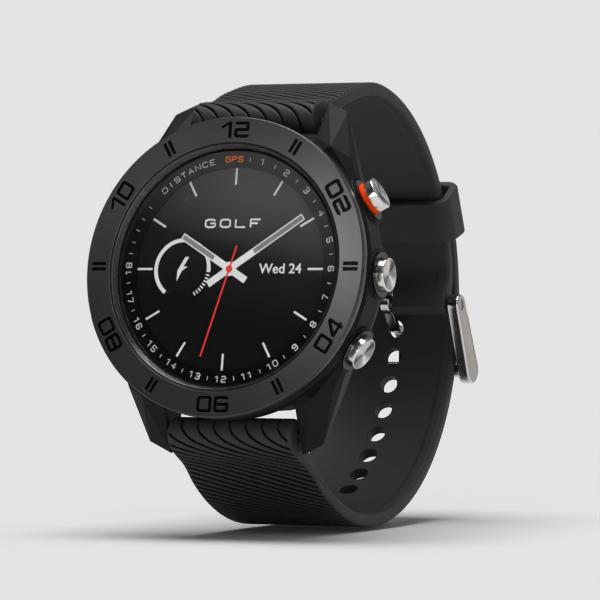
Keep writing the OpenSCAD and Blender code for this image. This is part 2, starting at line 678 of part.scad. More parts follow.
// Room in a strap end for the bar, and for its release lever on the wrist's side.
module bar_room() {
    translate([0, bar_y, bar_z]) {
        rod(bar_r + run_fit, -strap_w, strap_w);
        translate([lever_x - release_travel - 0.3, 0, -lever_w / 2 - 0.25])
            cube([release_travel + lever_w + 0.6, 6, lever_w + 0.5]);
    }
}
module upper_strap() {
    angles = steps(pin_a, roll_a);
    outer = [for (a = angles) on_arc(arc_y, upper_mid(a) + upper_thick(a) / 2, a)];
    inner = [for (a = backwards(angles)) on_arc(arc_y, upper_mid(a) - upper_thick(a) / 2, a)];
    color("#1a1a1b") difference() {
        union() {
            across(strap_w) polygon(concat(outer, inner));
            translate([0, roll_y, roll_z]) rod(roll_r, -strap_w / 2, strap_w / 2);
            translate([0, pin_y, pin_z]) rod(pin_roll_r, -strap_w / 2, strap_w / 2);
        }
        bar_room();
        translate([0, pin_y, pin_z]) rod(pin_r + run_fit, -strap_w, strap_w);
        translate([-notch_w / 2, pin_y - 4, pin_z - 4]) cube([notch_w, 8, 6.2]);
    }
}
module lower_strap() {
    tail = steps(tail_a, 0);
    back = steps(step_a, low_roll_a);
    outer = concat([for (a = tail) on_arc(arc_y, tail_r, a)],
        [for (a = back) on_arc(low_y, lower_mid(a) + lower_thick(a) / 2, -a)]);
    inner = concat([for (a = backwards(back)) on_arc(low_y, lower_mid(a) - lower_thick(a) / 2, -a)],
        [for (a = backwards(tail)) on_arc(arc_y, tail_r - strap_t, a)]);
    pitch_a = hole_pitch / lower_r * 180 / PI;
    tail_pitch_a = hole_pitch / tail_r * 180 / PI;
    color("#1a1a1b") difference() {
        union() {
            across(strap_w) polygon(concat(outer, inner));
            translate([0, roll_y, -roll_z]) rod(roll_r, -strap_w / 2, strap_w / 2);
        }
        mirror([0, 0, 1]) bar_room();
        // the hole that the tongue is in, then the rest down the back of the wrist
        for (i = [0 : hole_count - 1]) translate([0, low_y, 0]) rotate([tongue_a - i * pitch_a, 0, 0])
            translate([0, low_mid_r, 0]) rotate([90, 0, 0]) cylinder(h = 2 * strap_t, r = hole_r, center = true);
        for (i = [1 : tail_holes]) translate([0, arc_y, 0]) rotate([tongue_a + i * tail_pitch_a, 0, 0])
            translate([0, tail_r - strap_t / 2, 0]) rotate([90, 0, 0])
                cylinder(h = 2 * strap_t, r = hole_r, center = true);
        for (side = [0, 1]) mirror([side, 0, 0]) translate([0, arc_y, 0]) rotate([tail_a, 0, 0])
            translate([strap_w / 2 - tail_corner, tail_r - 2 * strap_t, -tail_corner]) difference() {
                cube([tail_corner + over, 3 * strap_t, tail_corner + over]);
                translate([0, -over, 0]) rotate([-90, 0, 0]) cylinder(h = 4 * strap_t, r = tail_corner);
            }
    }
}
// The tube of a strap bar with its fixed tip on the left.
module strap_bar() {
    color("#9da0a4") translate([0, bar_y, bar_z]) difference() {
        union() {
            rod(bar_r, -bar_len / 2, bar_len / 2);
            rod(bar_tip_r, -tip_reach, 0);
        }
        rod(bar_r - bar_wall, 0.5, strap_w);
        translate([lever_x - release_travel - 0.2, 0, -lever_w / 2 - 0.1])
            cube([release_travel + lever_w + 0.4, 3, lever_w + 0.2]);
    }
}
// The sprung tip on the right, with the lever that draws it back.
module release_pin() {
    rod_r = bar_r - bar_wall - run_fit;
    color("#b9bcbf") translate([0, bar_y, bar_z]) {
        rod(rod_r, release_in, bar_len / 2);
        rod(bar_tip_r, release_in, tip_reach);
        translate([lever_x, 0, -lever_w / 2]) cube([lever_w, lever_out, lever_w]);
    }
}
module bar_spring() {
    r = bar_r - bar_wall - run_fit - 0.12;
    color("#8d9093") translate([0.5 + seat_fit, bar_y, bar_z]) rotate([0, 90, 0])
        coil(r, 0.1, release_in - 0.5 - 2 * seat_fit, 7);
}
module upper_bar() { strap_bar(); }
module lower_bar() { mirror([0, 0, 1]) strap_bar(); }
module upper_release_pin() { release_pin(); }
module lower_release_pin() { mirror([0, 0, 1]) release_pin(); }
module upper_bar_spring() { bar_spring(); }
module lower_bar_spring() { mirror([0, 0, 1]) bar_spring(); }

// ---- buckle and keeper ----

module buckle_pin() { color("#a9acb0") translate([0, pin_y, pin_z]) rod(pin_r, -arm_x - arm_t + 0.15, arm_x + arm_t - 0.15); }
// Outline of a buckle arm: two round ends joined by their common tangents.
module arm_outline() {
    run = [crossbar_y - pin_y, crossbar_z - pin_z];
    l = norm(run);
    lean = asin((arm_end_r - arm_pin_r) / l);
    translate([pin_y, pin_z]) rotate(atan2(run[1], run[0])) {
        circle(r = arm_pin_r);
        translate([l, 0]) circle(r = arm_end_r);
        polygon([
            [-arm_pin_r * sin(lean), arm_pin_r * cos(lean)], [l - arm_end_r * sin(lean), arm_end_r * cos(lean)],
            [l - arm_end_r * sin(lean), -arm_end_r * cos(lean)], [-arm_pin_r * sin(lean), -arm_pin_r * cos(lean)]
        ]);
    }
}
module buckle_frame() {
    color("#9ea2a6") difference() {
        union() {
            for (side = [-1, 1]) translate([side * (arm_x + arm_t / 2), 0, 0]) across(arm_t) arm_outline();
            translate([0, crossbar_y, crossbar_z]) rod(crossbar_r, -arm_x - 0.2, arm_x + 0.2);
        }
        translate([0, pin_y, pin_z]) rod(pin_r + run_fit, -strap_w, strap_w);
    }
}
// The tongue's middle line, from the pin through the strap's hole to rest on the crossbar.
rest_y = crossbar_y + crossbar_r + tongue_t / 2 + 0.06;
hole_z = low_mid_r * sin(tongue_a);
tongue_line = [
    [pin_y + 0.8, pin_z - 0.8], [pin_y + 3.0, hole_z + 0.2], [pin_y + 5.4, hole_z - 0.1],
    [rest_y - 0.7, hole_z - 1.9], [rest_y, crossbar_z + 1.6], [rest_y - 0.1, crossbar_z - 1.9]
];
// Direction of the line at point i, and the point s half-thicknesses to its side.
function along(i) = let (p = tongue_line[max(0, i - 1)], q = tongue_line[min(len(tongue_line) - 1, i + 1)])
    (q - p) / norm(q - p);
function side_point(i, s) = tongue_line[i] + s * tongue_t / 2 * [-along(i)[1], along(i)[0]];
module buckle_tongue() {
    n = len(tongue_line) - 1;
    color("#b4b7ba") difference() {
        union() {
            across(tongue_w) polygon(concat([for (i = [0 : n]) side_point(i, 1)],
                [for (i = [n : -1 : 0]) side_point(i, -1)]));
            translate([0, pin_y, pin_z]) rod(tongue_loop_r, -tongue_w / 2, tongue_w / 2);
        }
        translate([0, pin_y, pin_z]) rod(pin_r + run_fit, -strap_w, strap_w);
    }
}
module keeper() {
    color("#1a1a1b") difference() {
        across(strap_w + 2 * (soft_fit + keeper_t))
            sector(keeper_low - keeper_t, keeper_high + keeper_t, keeper_a - keeper_half_a, keeper_a + keeper_half_a);
        across(strap_w + 2 * soft_fit)
            sector(keeper_low, keeper_high, keeper_a - 2 * keeper_half_a, keeper_a + 2 * keeper_half_a);
    }
}

case();
rear_cover();
rear_gasket();
rear_screws();
bezel();
bezel_gasket();
lens_ring();
lens();
lens_gasket();
dial_border();
display_panel();
backlight();
display_frame();
flex_cable();
gps_antenna();
main_board();
board_components();
button_switches();
battery();
vibration_motor();
contact_block();
charge_contacts();
chassis_screws();
top_sleeve();
top_button();
top_button_ring();
top_oring();
top_clip();
top_spring();
middle_sleeve();
middle_button();
middle_oring();
middle_clip();
middle_spring();
bottom_sleeve();
bottom_button();
bottom_oring();
bottom_clip();
bottom_spring();
upper_strap();
lower_strap();
upper_bar();
lower_bar();
upper_release_pin();
lower_release_pin();
upper_bar_spring();
lower_bar_spring();
buckle_pin();
buckle_frame();
buckle_tongue();
keeper();
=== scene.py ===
"""Looks of a golf watch on a closed silicone strap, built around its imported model."""

import json
import logging
import math
from collections.abc import Callable, Iterable, Sequence
from dataclasses import dataclass, field
from enum import Enum

import bmesh
import bpy
from bmesh.types import BMesh
from mathutils import Matrix, Vector
from mathutils.geometry import interpolate_bezier


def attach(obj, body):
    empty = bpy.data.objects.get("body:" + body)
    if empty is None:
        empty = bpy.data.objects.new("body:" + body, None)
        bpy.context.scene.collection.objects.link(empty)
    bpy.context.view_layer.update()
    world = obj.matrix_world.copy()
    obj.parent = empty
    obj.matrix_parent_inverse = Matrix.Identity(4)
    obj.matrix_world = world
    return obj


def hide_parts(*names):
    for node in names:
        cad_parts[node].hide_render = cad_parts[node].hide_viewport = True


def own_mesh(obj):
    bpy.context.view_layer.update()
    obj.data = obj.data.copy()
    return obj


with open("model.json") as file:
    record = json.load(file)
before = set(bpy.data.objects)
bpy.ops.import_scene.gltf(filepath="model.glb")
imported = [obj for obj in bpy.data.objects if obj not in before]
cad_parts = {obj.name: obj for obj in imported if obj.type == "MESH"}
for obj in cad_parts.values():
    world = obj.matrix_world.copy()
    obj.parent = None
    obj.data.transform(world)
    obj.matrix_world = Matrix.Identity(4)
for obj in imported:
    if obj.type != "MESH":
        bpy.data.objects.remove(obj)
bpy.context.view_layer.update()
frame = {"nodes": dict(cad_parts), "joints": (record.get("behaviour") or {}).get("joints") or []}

LOG = logging.getLogger("golf_watch")
MM = 0.001  # every size below is in millimetres, and every mesh in metres
TURN = 2 * math.pi
CREASE = math.radians(35)
# Turns a shape drawn with +Z out of the dial and +Y to 12 o'clock into the watch's frame.
ON_DIAL = Matrix.Rotation(math.pi / 2, 4, "X")

Point2 = tuple[float, float]
Socket = bpy.types.NodeSocket
Tree = bpy.types.ShaderNodeTree


# ---- colours and nodes ----


def linear(colour: str) -> tuple[float, float, float, float]:
    """Turns an sRGB hex colour into the linear RGBA that a shader takes.

    Args:
        colour: The colour, such as "#1b1c1d".

    Returns:
        Red, green, blue and an alpha of 1.
    """
    parts = [int(colour[at : at + 2], 16) / 255 for at in (1, 3, 5)]
    return (*[c / 12.92 if c <= 0.04045 else ((c + 0.055) / 1.055) ** 2.4 for c in parts], 1.0)


def add(tree: Tree, kind: str, settings: dict | None = None, inputs: dict | None = None) -> bpy.types.Node:
    """Adds a node, and sets or links its inputs.

    Args:
        tree: The material's or the world's nodes.
        kind: The node's type, without the "ShaderNode" that starts it.
        settings: The node's own options.
        inputs: A value, or an output to link from, for each input by name or number.

    Returns:
        The node.
    """
    node = tree.nodes.new("ShaderNode" + kind)
    for name, value in (settings or {}).items():
        setattr(node, name, value)
    for name, value in (inputs or {}).items():
        if isinstance(value, Socket):
            tree.links.new(value, node.inputs[name])
        elif value is not None:
            node.inputs[name].default_value = value
    return node


def smooth(t: float) -> float:
    """Rises from 0 to 1 with level ends as t goes from 0 to 1."""
    t = min(1.0, max(0.0, t))
    return t * t * (3 - 2 * t)


# ---- finishes ----


@dataclass(frozen=True)
class Finish:
    """A finish with an even colour and a slight unevenness, and how its material is made."""

    name: str
    colour: str
    roughness: float
    metallic: float = 0.0
    ior: float = 1.5
    grain: float = 0.25  # size of one grain of the surface
    depth: float = 0.003  # height of the grain
    mottle: float = 0.12  # share by which the colour wanders over the surface
    mottle_size: float = 6.0
    rounding: float = 0.0  # edge radius that the light sees on a sharp edge
    coat: float = 0.0

    def material(self) -> bpy.types.Material:
        """Gives the finish's material, which is made the first time.

        Returns:
            The material, the same one each time.
        """
        found = bpy.data.materials.get(self.name)
        if found:
            return found
        made = bpy.data.materials.new(self.name)
        made.use_nodes = True
        tree = made.node_tree
        tree.nodes.clear()
        shader = add(
            tree,
            "BsdfPrincipled",
            None,
            {
                "Base Color": linear(self.colour),
                "Roughness": self.roughness,
                "Metallic": self.metallic,
                "IOR": self.ior,
                "Coat Weight": self.coat,
            },
        )
        self.dress(tree, shader, add(tree, "TexCoord").outputs["Object"])
        add(tree, "OutputMaterial", None, {"Surface": shader.outputs[0]})
        return made

    def wander(self, tree: Tree, place: Socket, base: Socket | None = None) -> Socket:
        """Makes the base colour wander a little, as pigment, wear and handling do.

        Args:
            tree: The material's nodes.
            place: Where the pattern is read.
            base: The colour to start from, or None for the finish's own.

        Returns:
            The colour.
        """
        cloud = add(tree, "TexNoise", None, {"Vector": place, "Scale": 1 / (self.mottle_size * MM), "Detail": 4.0})
        level = add(
            tree,
            "MapRange",
            None,
            {"Value": cloud.outputs[0], 1: 0.3, 2: 0.7, 3: 1 - self.mottle, 4: 1 + self.mottle},
        )
        start = linear(self.colour) if base is None else base
        return add(tree, "HueSaturation", None, {"Color": start, "Value": level.outputs[0]}).outputs[0]

    def edges(self, tree: Tree) -> Socket | None:
        """Gives the normal of softly rounded edges, or None where edges stay sharp."""
        if not self.rounding:
            return None
        return add(tree, "Bevel", {"samples": 6}, {"Radius": self.rounding * MM}).outputs[0]

    def dress(self, tree: Tree, shader: bpy.types.Node, place: Socket) -> None:
        """Adds the fine grain of a moulded, blasted or printed surface.

        Args:
            tree: The material's nodes.
            shader: The Principled shader.
            place: Object coordinates.
        """
        grain = add(tree, "TexNoise", None, {"Vector": place, "Scale": 1 / (self.grain * MM), "Detail": 3.0})
        rough = add(
            tree,
            "MapRange",
            None,
            {"Value": grain.outputs[0], 1: 0.3, 2: 0.7, 3: self.roughness * 0.88, 4: min(1.0, self.roughness * 1.12)},
        )
        bump = add(
            tree,
            "Bump",
            None,
            {"Strength": 1.0, "Distance": self.depth * MM, "Height": grain.outputs[0], "Normal": self.edges(tree)},
        )
        tree.links.new(self.wander(tree, place), shader.inputs["Base Color"])
        tree.links.new(rough.outputs[0], shader.inputs["Roughness"])
        tree.links.new(bump.outputs[0], shader.inputs["Normal"])


@dataclass(frozen=True)
class Inked(Finish):
    """A coated metal whose engraved cuts are filled with ink."""

    ink: str = "#050506"
    face: float = 12.0  # height of the coated face above the back
    floor: float = 0.04  # cuts deeper than this hold ink
    inner: float = 18.0
    outer: float = 21.2

    def dress(self, tree: Tree, shader: bpy.types.Node, place: Socket) -> None:
        """Adds the coat's grain, and ink where the surface lies below the face.

        Args:
            tree: The node tree that the material is made in.
            shader: The shader whose colour, gloss and normal are set.
            place: The point on the piece, in millimetres.
        """
        super().dress(tree, shader, place)
        split = add(tree, "SeparateXYZ", None, {0: place})
        flat = add(tree, "VectorMath", {"operation": "MULTIPLY"}, {0: place, 1: (1, 0, 1)})
        reach = add(tree, "VectorMath", {"operation": "LENGTH"}, {0: flat.outputs[0]}).outputs["Value"]
        deep = add(tree, "Math", {"operation": "GREATER_THAN"}, {0: split.outputs[1], 1: (self.floor - self.face) * MM})
        cut = add(tree, "Math", {"operation": "LESS_THAN"}, {0: split.outputs[1], 1: (0.6 - self.face) * MM})
        past = add(tree, "Math", {"operation": "GREATER_THAN"}, {0: reach, 1: self.inner * MM})
        short = add(tree, "Math", {"operation": "LESS_THAN"}, {0: reach, 1: self.outer * MM})
        low = add(tree, "Math", {"operation": "MULTIPLY"}, {0: deep.outputs[0], 1: cut.outputs[0]})
        band = add(tree, "Math", {"operation": "MULTIPLY"}, {0: past.outputs[0], 1: short.outputs[0]})
        mask = add(tree, "Math", {"operation": "MULTIPLY"}, {0: low.outputs[0], 1: band.outputs[0]}).outputs[0]
        coat = shader.inputs["Base Color"].links[0].from_socket
        inked = add(tree, "Mix", {"data_type": "RGBA"}, {"Factor": mask, 6: coat, 7: linear(self.ink)})
        bare = add(tree, "Math", {"operation": "MULTIPLY_ADD"}, {0: mask, 1: -self.metallic, 2: self.metallic})
        dull = add(tree, "Math", {"operation": "MULTIPLY_ADD"}, {0: mask, 1: -0.47, 2: 0.5})
        tree.links.new(inked.outputs[2], shader.inputs["Base Color"])
        tree.links.new(bare.outputs[0], shader.inputs["Metallic"])
        tree.links.new(dull.outputs[0], shader.inputs["Specular IOR Level"])


@dataclass(frozen=True)
class Brushed(Finish):
    """A metal brushed along one line, whose scratches spread the light across it."""

    lines: tuple[float, float, float] = (4.0, 0.08, 0.08)  # length of a scratch along x, y and z
    lean: float = 0.0  # turn of the scratches about x, in degrees
    scratch: float = 0.002

    def dress(self, tree: Tree, shader: bpy.types.Node, place: Socket) -> None:
        """Adds the scratches as height, and as streaks of gloss.

        Args:
            tree: The node tree that the material is made in.
            shader: The shader whose colour, gloss and normal are set.
            place: The point on the piece, in millimetres.
        """
        turned_place = add(
            tree,
            "Mapping",
            {"vector_type": "POINT"},
            {"Vector": place, "Rotation": (math.radians(self.lean), 0, 0), "Scale": (1, 1, 1)},
        )
        scaled = add(
            tree,
            "Mapping",
            {"vector_type": "POINT"},
            {"Vector": turned_place.outputs[0], "Scale": tuple(1 / (size * MM) for size in self.lines)},
        )
        detail = {"Vector": scaled.outputs[0], "Scale": 1.0, "Detail": 4.0, "Roughness": 0.65}
        streak = add(tree, "TexNoise", None, detail)
        rough = add(
            tree,
            "MapRange",
            None,
            {"Value": streak.outputs[0], 1: 0.3, 2: 0.7, 3: self.roughness * 0.75, 4: self.roughness * 1.3},
        )
        bump = add(
            tree,
            "Bump",
            None,
            {"Strength": 1.0, "Distance": self.scratch * MM, "Height": streak.outputs[0], "Normal": self.edges(tree)},
        )
        tree.links.new(self.wander(tree, place), shader.inputs["Base Color"])
        tree.links.new(rough.outputs[0], shader.inputs["Roughness"])
        tree.links.new(bump.outputs[0], shader.inputs["Normal"])


@dataclass(frozen=True)
class Spun(Finish):
    """A metal turned on a lathe, with fine rings about its axis, and a painted highlight of light and dark fan shapes
    in its colour.
    """

    centre: tuple[float, float, float] = (0.0, 0.0, 0.0)
    axis: tuple[float, float, float] = (0.0, 1.0, 0.0)
    ring: float = 0.16
    scratch: float = 0.002
    shade: str = "#1c1b1a"  # the darkest colour of the painted highlight's fan pattern
    phase: float = 0.6

    def dress(self, tree: Tree, shader: bpy.types.Node, place: Socket) -> None:
        """Adds rings as height and gloss, by the distance from the axis, and the painted highlight in the colour.

        Args:
            tree: The node tree that the material is made in.
            shader: The shader whose colour, gloss and normal are set.
            place: The point on the piece, in millimetres.
        """
        centre = tuple(c * MM for c in self.centre)
        arm = add(tree, "VectorMath", {"operation": "SUBTRACT"}, {0: place, 1: centre})
        off = add(tree, "VectorMath", {"operation": "CROSS_PRODUCT"}, {0: arm.outputs[0], 1: self.axis})
        reach = add(tree, "VectorMath", {"operation": "LENGTH"}, {0: off.outputs[0]}).outputs["Value"]
        rings = add(
            tree,
            "TexNoise",
            {"noise_dimensions": "1D"},
            {"W": reach, "Scale": 1 / (self.ring * MM), "Detail": 3.0, "Roughness": 0.7},
        )
        rough = add(
            tree,
            "MapRange",
            None,
            {"Value": rings.outputs[0], 1: 0.3, 2: 0.7, 3: self.roughness * 0.8, 4: self.roughness * 1.25},
        )
        bump = add(
            tree,
            "Bump",
            None,
            {"Strength": 1.0, "Distance": self.scratch * MM, "Height": rings.outputs[0], "Normal": self.edges(tree)},
        )
        # Painted highlight: the colour runs between the dark shade and the metal's own colour in fan shapes about the
        # axis.
        fans = add(
            tree,
            "Mix",
            {"data_type": "RGBA"},
            {"Factor": self.fans(tree, arm.outputs[0]), 6: linear(self.shade), 7: self.wander(tree, place)},
        )
        tree.links.new(fans.outputs[2], shader.inputs["Base Color"])
        tree.links.new(rough.outputs[0], shader.inputs["Roughness"])
        tree.links.new(bump.outputs[0], shader.inputs["Normal"])

    def fans(self, tree: Tree, arm: Socket) -> Socket:
        """Gives the painted highlight, light and dark fan shapes about the axis, as a share of the metal's own colour.

        Args:
            tree: The node tree that the material is made in.
            arm: The vector from the axis to the point.

        Returns:
            The share of the metal's own colour.
        """
        first = Vector((0, 1, 0))
        second = Vector(self.axis).cross(first)
        across, up = (
            add(tree, "VectorMath", {"operation": "DOT_PRODUCT"}, {0: arm, 1: tuple(way)}).outputs["Value"]
            for way in (first, second)
        )
        angle = add(tree, "Math", {"operation": "ARCTAN2"}, {0: up, 1: across}).outputs[0]
        waves = []
        for lobes, strength in ((2, 0.36), (5, 0.16)):
            turned_by = add(tree, "Math", {"operation": "MULTIPLY_ADD"}, {0: angle, 1: lobes, 2: self.phase * lobes})
            wave = add(tree, "Math", {"operation": "COSINE"}, {0: turned_by.outputs[0]})
            waves.append(add(tree, "Math", {"operation": "MULTIPLY"}, {0: wave.outputs[0], 1: strength}).outputs[0])
        both = add(tree, "Math", {"operation": "ADD"}, {0: waves[0], 1: waves[1]})
        return add(tree, "Math", {"operation": "ADD", "use_clamp": True}, {0: both.outputs[0], 1: 0.42}).outputs[0]


@dataclass(frozen=True)
class Rubber(Finish):
    """A moulded rubber with a bloom that dulls it, and painted shade, darker and less glossy, at the bottom of its
    grooves.
    """

    # The colour of the painted shade at the bottom of the grooves.
    groove: str = "#020202"

    def dress(self, tree: Tree, shader: bpy.types.Node, place: Socket) -> None:
        """Adds the moulded grain, and painted shade in the grooves, read from the mesh's own attribute.

        Args:
            tree: The node tree that the material is made in.
            shader: The shader whose colour, gloss and normal are set.
            place: The point on the piece, in millimetres.
        """
        super().dress(tree, shader, place)
        groove = add(tree, "Attribute", {"attribute_name": "groove"}).outputs["Fac"]
        depth = add(tree, "MapRange", None, {"Value": groove, 1: 0.12, 2: 0.55, 3: 0.0, 4: 1.0}).outputs[0]
        rubber = shader.inputs["Base Color"].links[0].from_socket
        # Painted shade: the grooves are darkened in colour and lose most of their gloss.
        painted_groove_shade = add(tree, "Mix", {"data_type": "RGBA"}, {"Factor": depth, 6: rubber, 7: linear(self.groove)})
        dull = add(tree, "Math", {"operation": "MULTIPLY_ADD"}, {0: depth, 1: -0.48, 2: 0.5})
        tree.links.new(painted_groove_shade.outputs[2], shader.inputs["Base Color"])
        tree.links.new(dull.outputs[0], shader.inputs["Specular IOR Level"])


@dataclass(frozen=True)
class Lit(Finish):
    """A display or its printed border, with a painted reflection that is light at the top of the dial and dark towards
    the bottom.
    """

    # The colours of the painted reflection, at the top, the middle and the foot of the dial.
    top: str = "#434343"
    middle: str = "#262626"
    foot: str = "#131313"
    reach: float = 15.0

    def dress(self, tree: Tree, shader: bpy.types.Node, place: Socket) -> None:
        """Adds the painted reflection up the dial, and the display's fine cell pattern.

        Args:
            tree: The node tree that the material is made in.
            shader: The shader whose colour, gloss and normal are set.
            place: The point on the piece, in millimetres.
        """
        split = add(tree, "SeparateXYZ", None, {0: place})
        # The painted reflection's light end lies towards 1 o'clock.
        lean = add(tree, "Math", {"operation": "MULTIPLY_ADD"}, {0: split.outputs[0], 1: 0.28, 2: split.outputs[2]})
        level = add(
            tree, "MapRange", None, {"Value": lean.outputs[0], 1: -self.reach * MM, 2: self.reach * MM, 3: 0.0, 4: 1.0}
        )
        painted_reflection_ramp = add(tree, "ValToRGB", None, {0: level.outputs[0]})
        stops = painted_reflection_ramp.color_ramp.elements
        stops[0].color, stops[1].color = linear(self.foot), linear(self.top)
        stops.new(0.58).color = linear(self.middle)
        stops.new(0.3).color = linear(self.foot)
        cells = add(
            tree,
            "TexVoronoi",
            {"feature": "F1"},
            {"Vector": place, "Scale": 1 / (self.grain * MM), "Randomness": 0.0},
        )
        rough = add(
            tree,
            "MapRange",
            None,
            {"Value": cells.outputs[0], 1: 0.0, 2: 1.0, 3: self.roughness * 0.9, 4: self.roughness * 1.1},
        )
        tree.links.new(self.wander(tree, place, painted_reflection_ramp.outputs[0]), shader.inputs["Base Color"])
        tree.links.new(rough.outputs[0], shader.inputs["Roughness"])


@dataclass(frozen=True)
class Clear(Finish):
    """A hard glass with a faint film of handling on it."""

    def dress(self, tree: Tree, shader: bpy.types.Node, place: Socket) -> None:
        """Lets light through, and leaves a trace of a smudge in the gloss.

        Args:
            tree: The node tree that the material is made in.
            shader: The shader whose colour, gloss and normal are set.
            place: The point on the piece, in millimetres.
        """
        shader.inputs["Transmission Weight"].default_value = 1.0
        smudge = add(tree, "TexNoise", None, {"Vector": place, "Scale": 1 / (self.mottle_size * MM), "Detail": 2.0})
        rough = add(
            tree, "MapRange", None, {"Value": smudge.outputs[0], 1: 0.4, 2: 0.9, 3: 0.0, 4: self.roughness}
        )
        tree.links.new(rough.outputs[0], shader.inputs["Roughness"])


@dataclass(frozen=True)
class Laminate(Finish):
    """A circuit laminate with tracks of copper under its mask."""

    track: str = "#2f6b45"

    def dress(self, tree: Tree, shader: bpy.types.Node, place: Socket) -> None:
        """Adds tracks as lighter lines under the mask.

        Args:
            tree: The node tree that the material is made in.
            shader: The shader whose colour, gloss and normal are set.
            place: The point on the piece, in millimetres.
        """
        super().dress(tree, shader, place)
        lines = add(
            tree, "TexBrick", None, {"Vector": place, "Scale": 1 / (3 * MM), "Mortar Size": 0.03, "Bias": 0.0}
        )
        mask = shader.inputs["Base Color"].links[0].from_socket
        tracks = add(
            tree, "Mix", {"data_type": "RGBA"}, {"Factor": lines.outputs[1], 6: mask, 7: linear(self.track)}
        )
        tree.links.new(tracks.outputs[2], shader.inputs["Base Color"])


# Glass-filled nylon, injection moulded: a soft matt black with a fine spark-eroded grain.
CASE_NYLON = Finish("glass_filled_nylon_moulded", "#0f0f10", 0.6, ior=1.24, grain=0.22, depth=0.006, rounding=0.25)
# Steel with a dark vacuum coating over a bead-blasted face: satin, darker than bare steel.
BEZEL_COAT = Inked(
    "pvd_coated_steel_blasted", "#3e3e3e", 0.38, metallic=0.85, grain=0.16, depth=0.0022, mottle=0.05, rounding=0.12
)
# Black ion-plated steel, polished: the narrow ring round the glass, near a mirror.
RING_STEEL = Finish(
    "ion_plated_steel_polished", "#5c5c5d", 0.3, metallic=1.0, grain=0.4, depth=0.0, mottle=0.02
)
# Stainless steel, polished: bright, and mirror-like on narrow edges.
POLISHED = Finish("stainless_steel_polished", "#c9c7c4", 0.16, metallic=1.0, grain=0.5, depth=0.0006, mottle=0.04)
# Black coated steel, turned: the sleeves round the buttons, near black with a thin glint.
BLACK_STEEL = Finish("pvd_black_steel_turned", "#1d1d1f", 0.32, metallic=0.9, grain=0.2, depth=0.0006, mottle=0.04)
# Stainless steel, brushed along the buckle's arms: warm grey with fine streaks.
ARM_BRUSH = Brushed(
    "stainless_steel_brushed", "#9c9691", 0.34, metallic=1.0, lines=(0.07, 3.5, 0.07), lean=-54.8, mottle=0.05
)
# Stainless steel, tumbled: small pins and screws, with a soft even gloss.
TUMBLED = Finish("stainless_steel_tumbled", "#9a9b9e", 0.3, metallic=1.0, grain=0.12, depth=0.001, mottle=0.06)
# Darkened steel, polished: the tongue and the crossbar, deep grey with sharp glints.
DARK_STEEL = Finish("stainless_steel_darkened", "#77757a", 0.24, metallic=1.0, grain=0.3, depth=0.0008, mottle=0.06)
# Spring wire, drawn and oiled: grey with a thin gloss.
SPRING_WIRE = Finish("spring_steel_drawn", "#85888b", 0.28, metallic=1.0, grain=0.1, depth=0.0008)
# Aluminium, anodised orange: a saturated satin.
ORANGE = Finish("aluminium_anodised_orange", "#e04008", 0.7, ior=1.15, grain=0.12, depth=0.001, mottle=0.06)
# Silicone rubber, compression moulded: a dry matt black that turns grey at grazing light, with painted shade in its
# grooves.
SILICONE = Rubber(
    "silicone_rubber_moulded", "#2d2d2e", 0.62, ior=1.3, grain=0.3, depth=0.004, mottle=0.1, mottle_size=14.0
)
# Aluminosilicate glass, polished: clear, with a crisp reflection.
GLASS = Clear("aluminosilicate_glass_polished", "#ffffff", 0.02, ior=1.5)
# Memory-in-pixel display: near black, with a painted reflection that makes it lighter towards the top. The cells are
# drawn at 0.25 mm, twice their size, so that they show.
PANEL = Lit(
    "display_glass_cells", "#262626", 0.7, ior=1.12, grain=0.25, mottle=0.03,
    top="#515151", middle="#171717", foot="#090909",
)
# Ceramic ink printed on the underside of the glass: a flat black, with the same painted reflection as the display,
# lighter towards the top.
BORDER_INK = Lit(
    "ceramic_ink_screened", "#1a1a1a", 0.7, ior=1.12, top="#464646", middle="#111111", foot="#020202", reach=17
)
# Black lacquer on the glass's rim, which keeps stray light out of the edge.
EDGE_INK = Finish("edge_lacquer_black", "#050505", 0.5, grain=0.2, depth=0.001)
# Pixels driven white: a flat, soft light grey.
PIXEL_WHITE = Finish("display_pixels_white", "#c6c6c6", 0.7, grain=0.25, depth=0.0, mottle=0.03)
# Pixels driven grey, inside the hands.
PIXEL_GREY = Finish("display_pixels_grey", "#6a6a6a", 0.7, grain=0.25, depth=0.0, mottle=0.03)
# Pixels driven red.
PIXEL_RED = Finish("display_pixels_red", "#c0161b", 0.7, grain=0.25, depth=0.0, mottle=0.03)
# Screened ink on the border: light grey numbers and one orange word.
NUMBER_INK = Finish("border_ink_light", "#b4b4b4", 0.6, grain=0.1, depth=0.001, mottle=0.04)
ACCENT_INK = Finish("border_ink_orange", "#d8672c", 0.6, grain=0.1, depth=0.001, mottle=0.04)
# Nitrile rubber, moulded: seals, dull black.
NITRILE = Finish("nitrile_rubber_moulded", "#111112", 0.7, grain=0.15, depth=0.003)
# Acrylic light guide: a milky sheet.
ACRYLIC = Finish("acrylic_light_guide", "#e4e4de", 0.35, grain=0.5, depth=0.001, ior=1.49)
# ABS, moulded: the inner frame and the motor's can, mid grey.
ABS = Finish("abs_moulded", "#35373a", 0.55, grain=0.2, depth=0.005)
# Alumina, fired: the aerial's block, off white and matt.
ALUMINA = Finish("alumina_fired", "#cfcac0", 0.7, grain=0.1, depth=0.003)
# Polyimide film: amber, smooth.
POLYIMIDE = Finish("polyimide_film", "#9a5a1c", 0.3, grain=0.4, depth=0.001)
# Foil pouch of a lithium cell: dull silver, slightly creased.
POUCH = Finish("laminated_foil_pouch", "#a9abad", 0.42, metallic=0.7, grain=1.4, depth=0.03)
# Epoxy of the chips: charcoal.
EPOXY = Finish("epoxy_moulded", "#1c1d20", 0.5, grain=0.12, depth=0.003)
BOARD = Laminate("fr4_solder_masked", "#173d2a", 0.4, grain=0.2, depth=0.002)

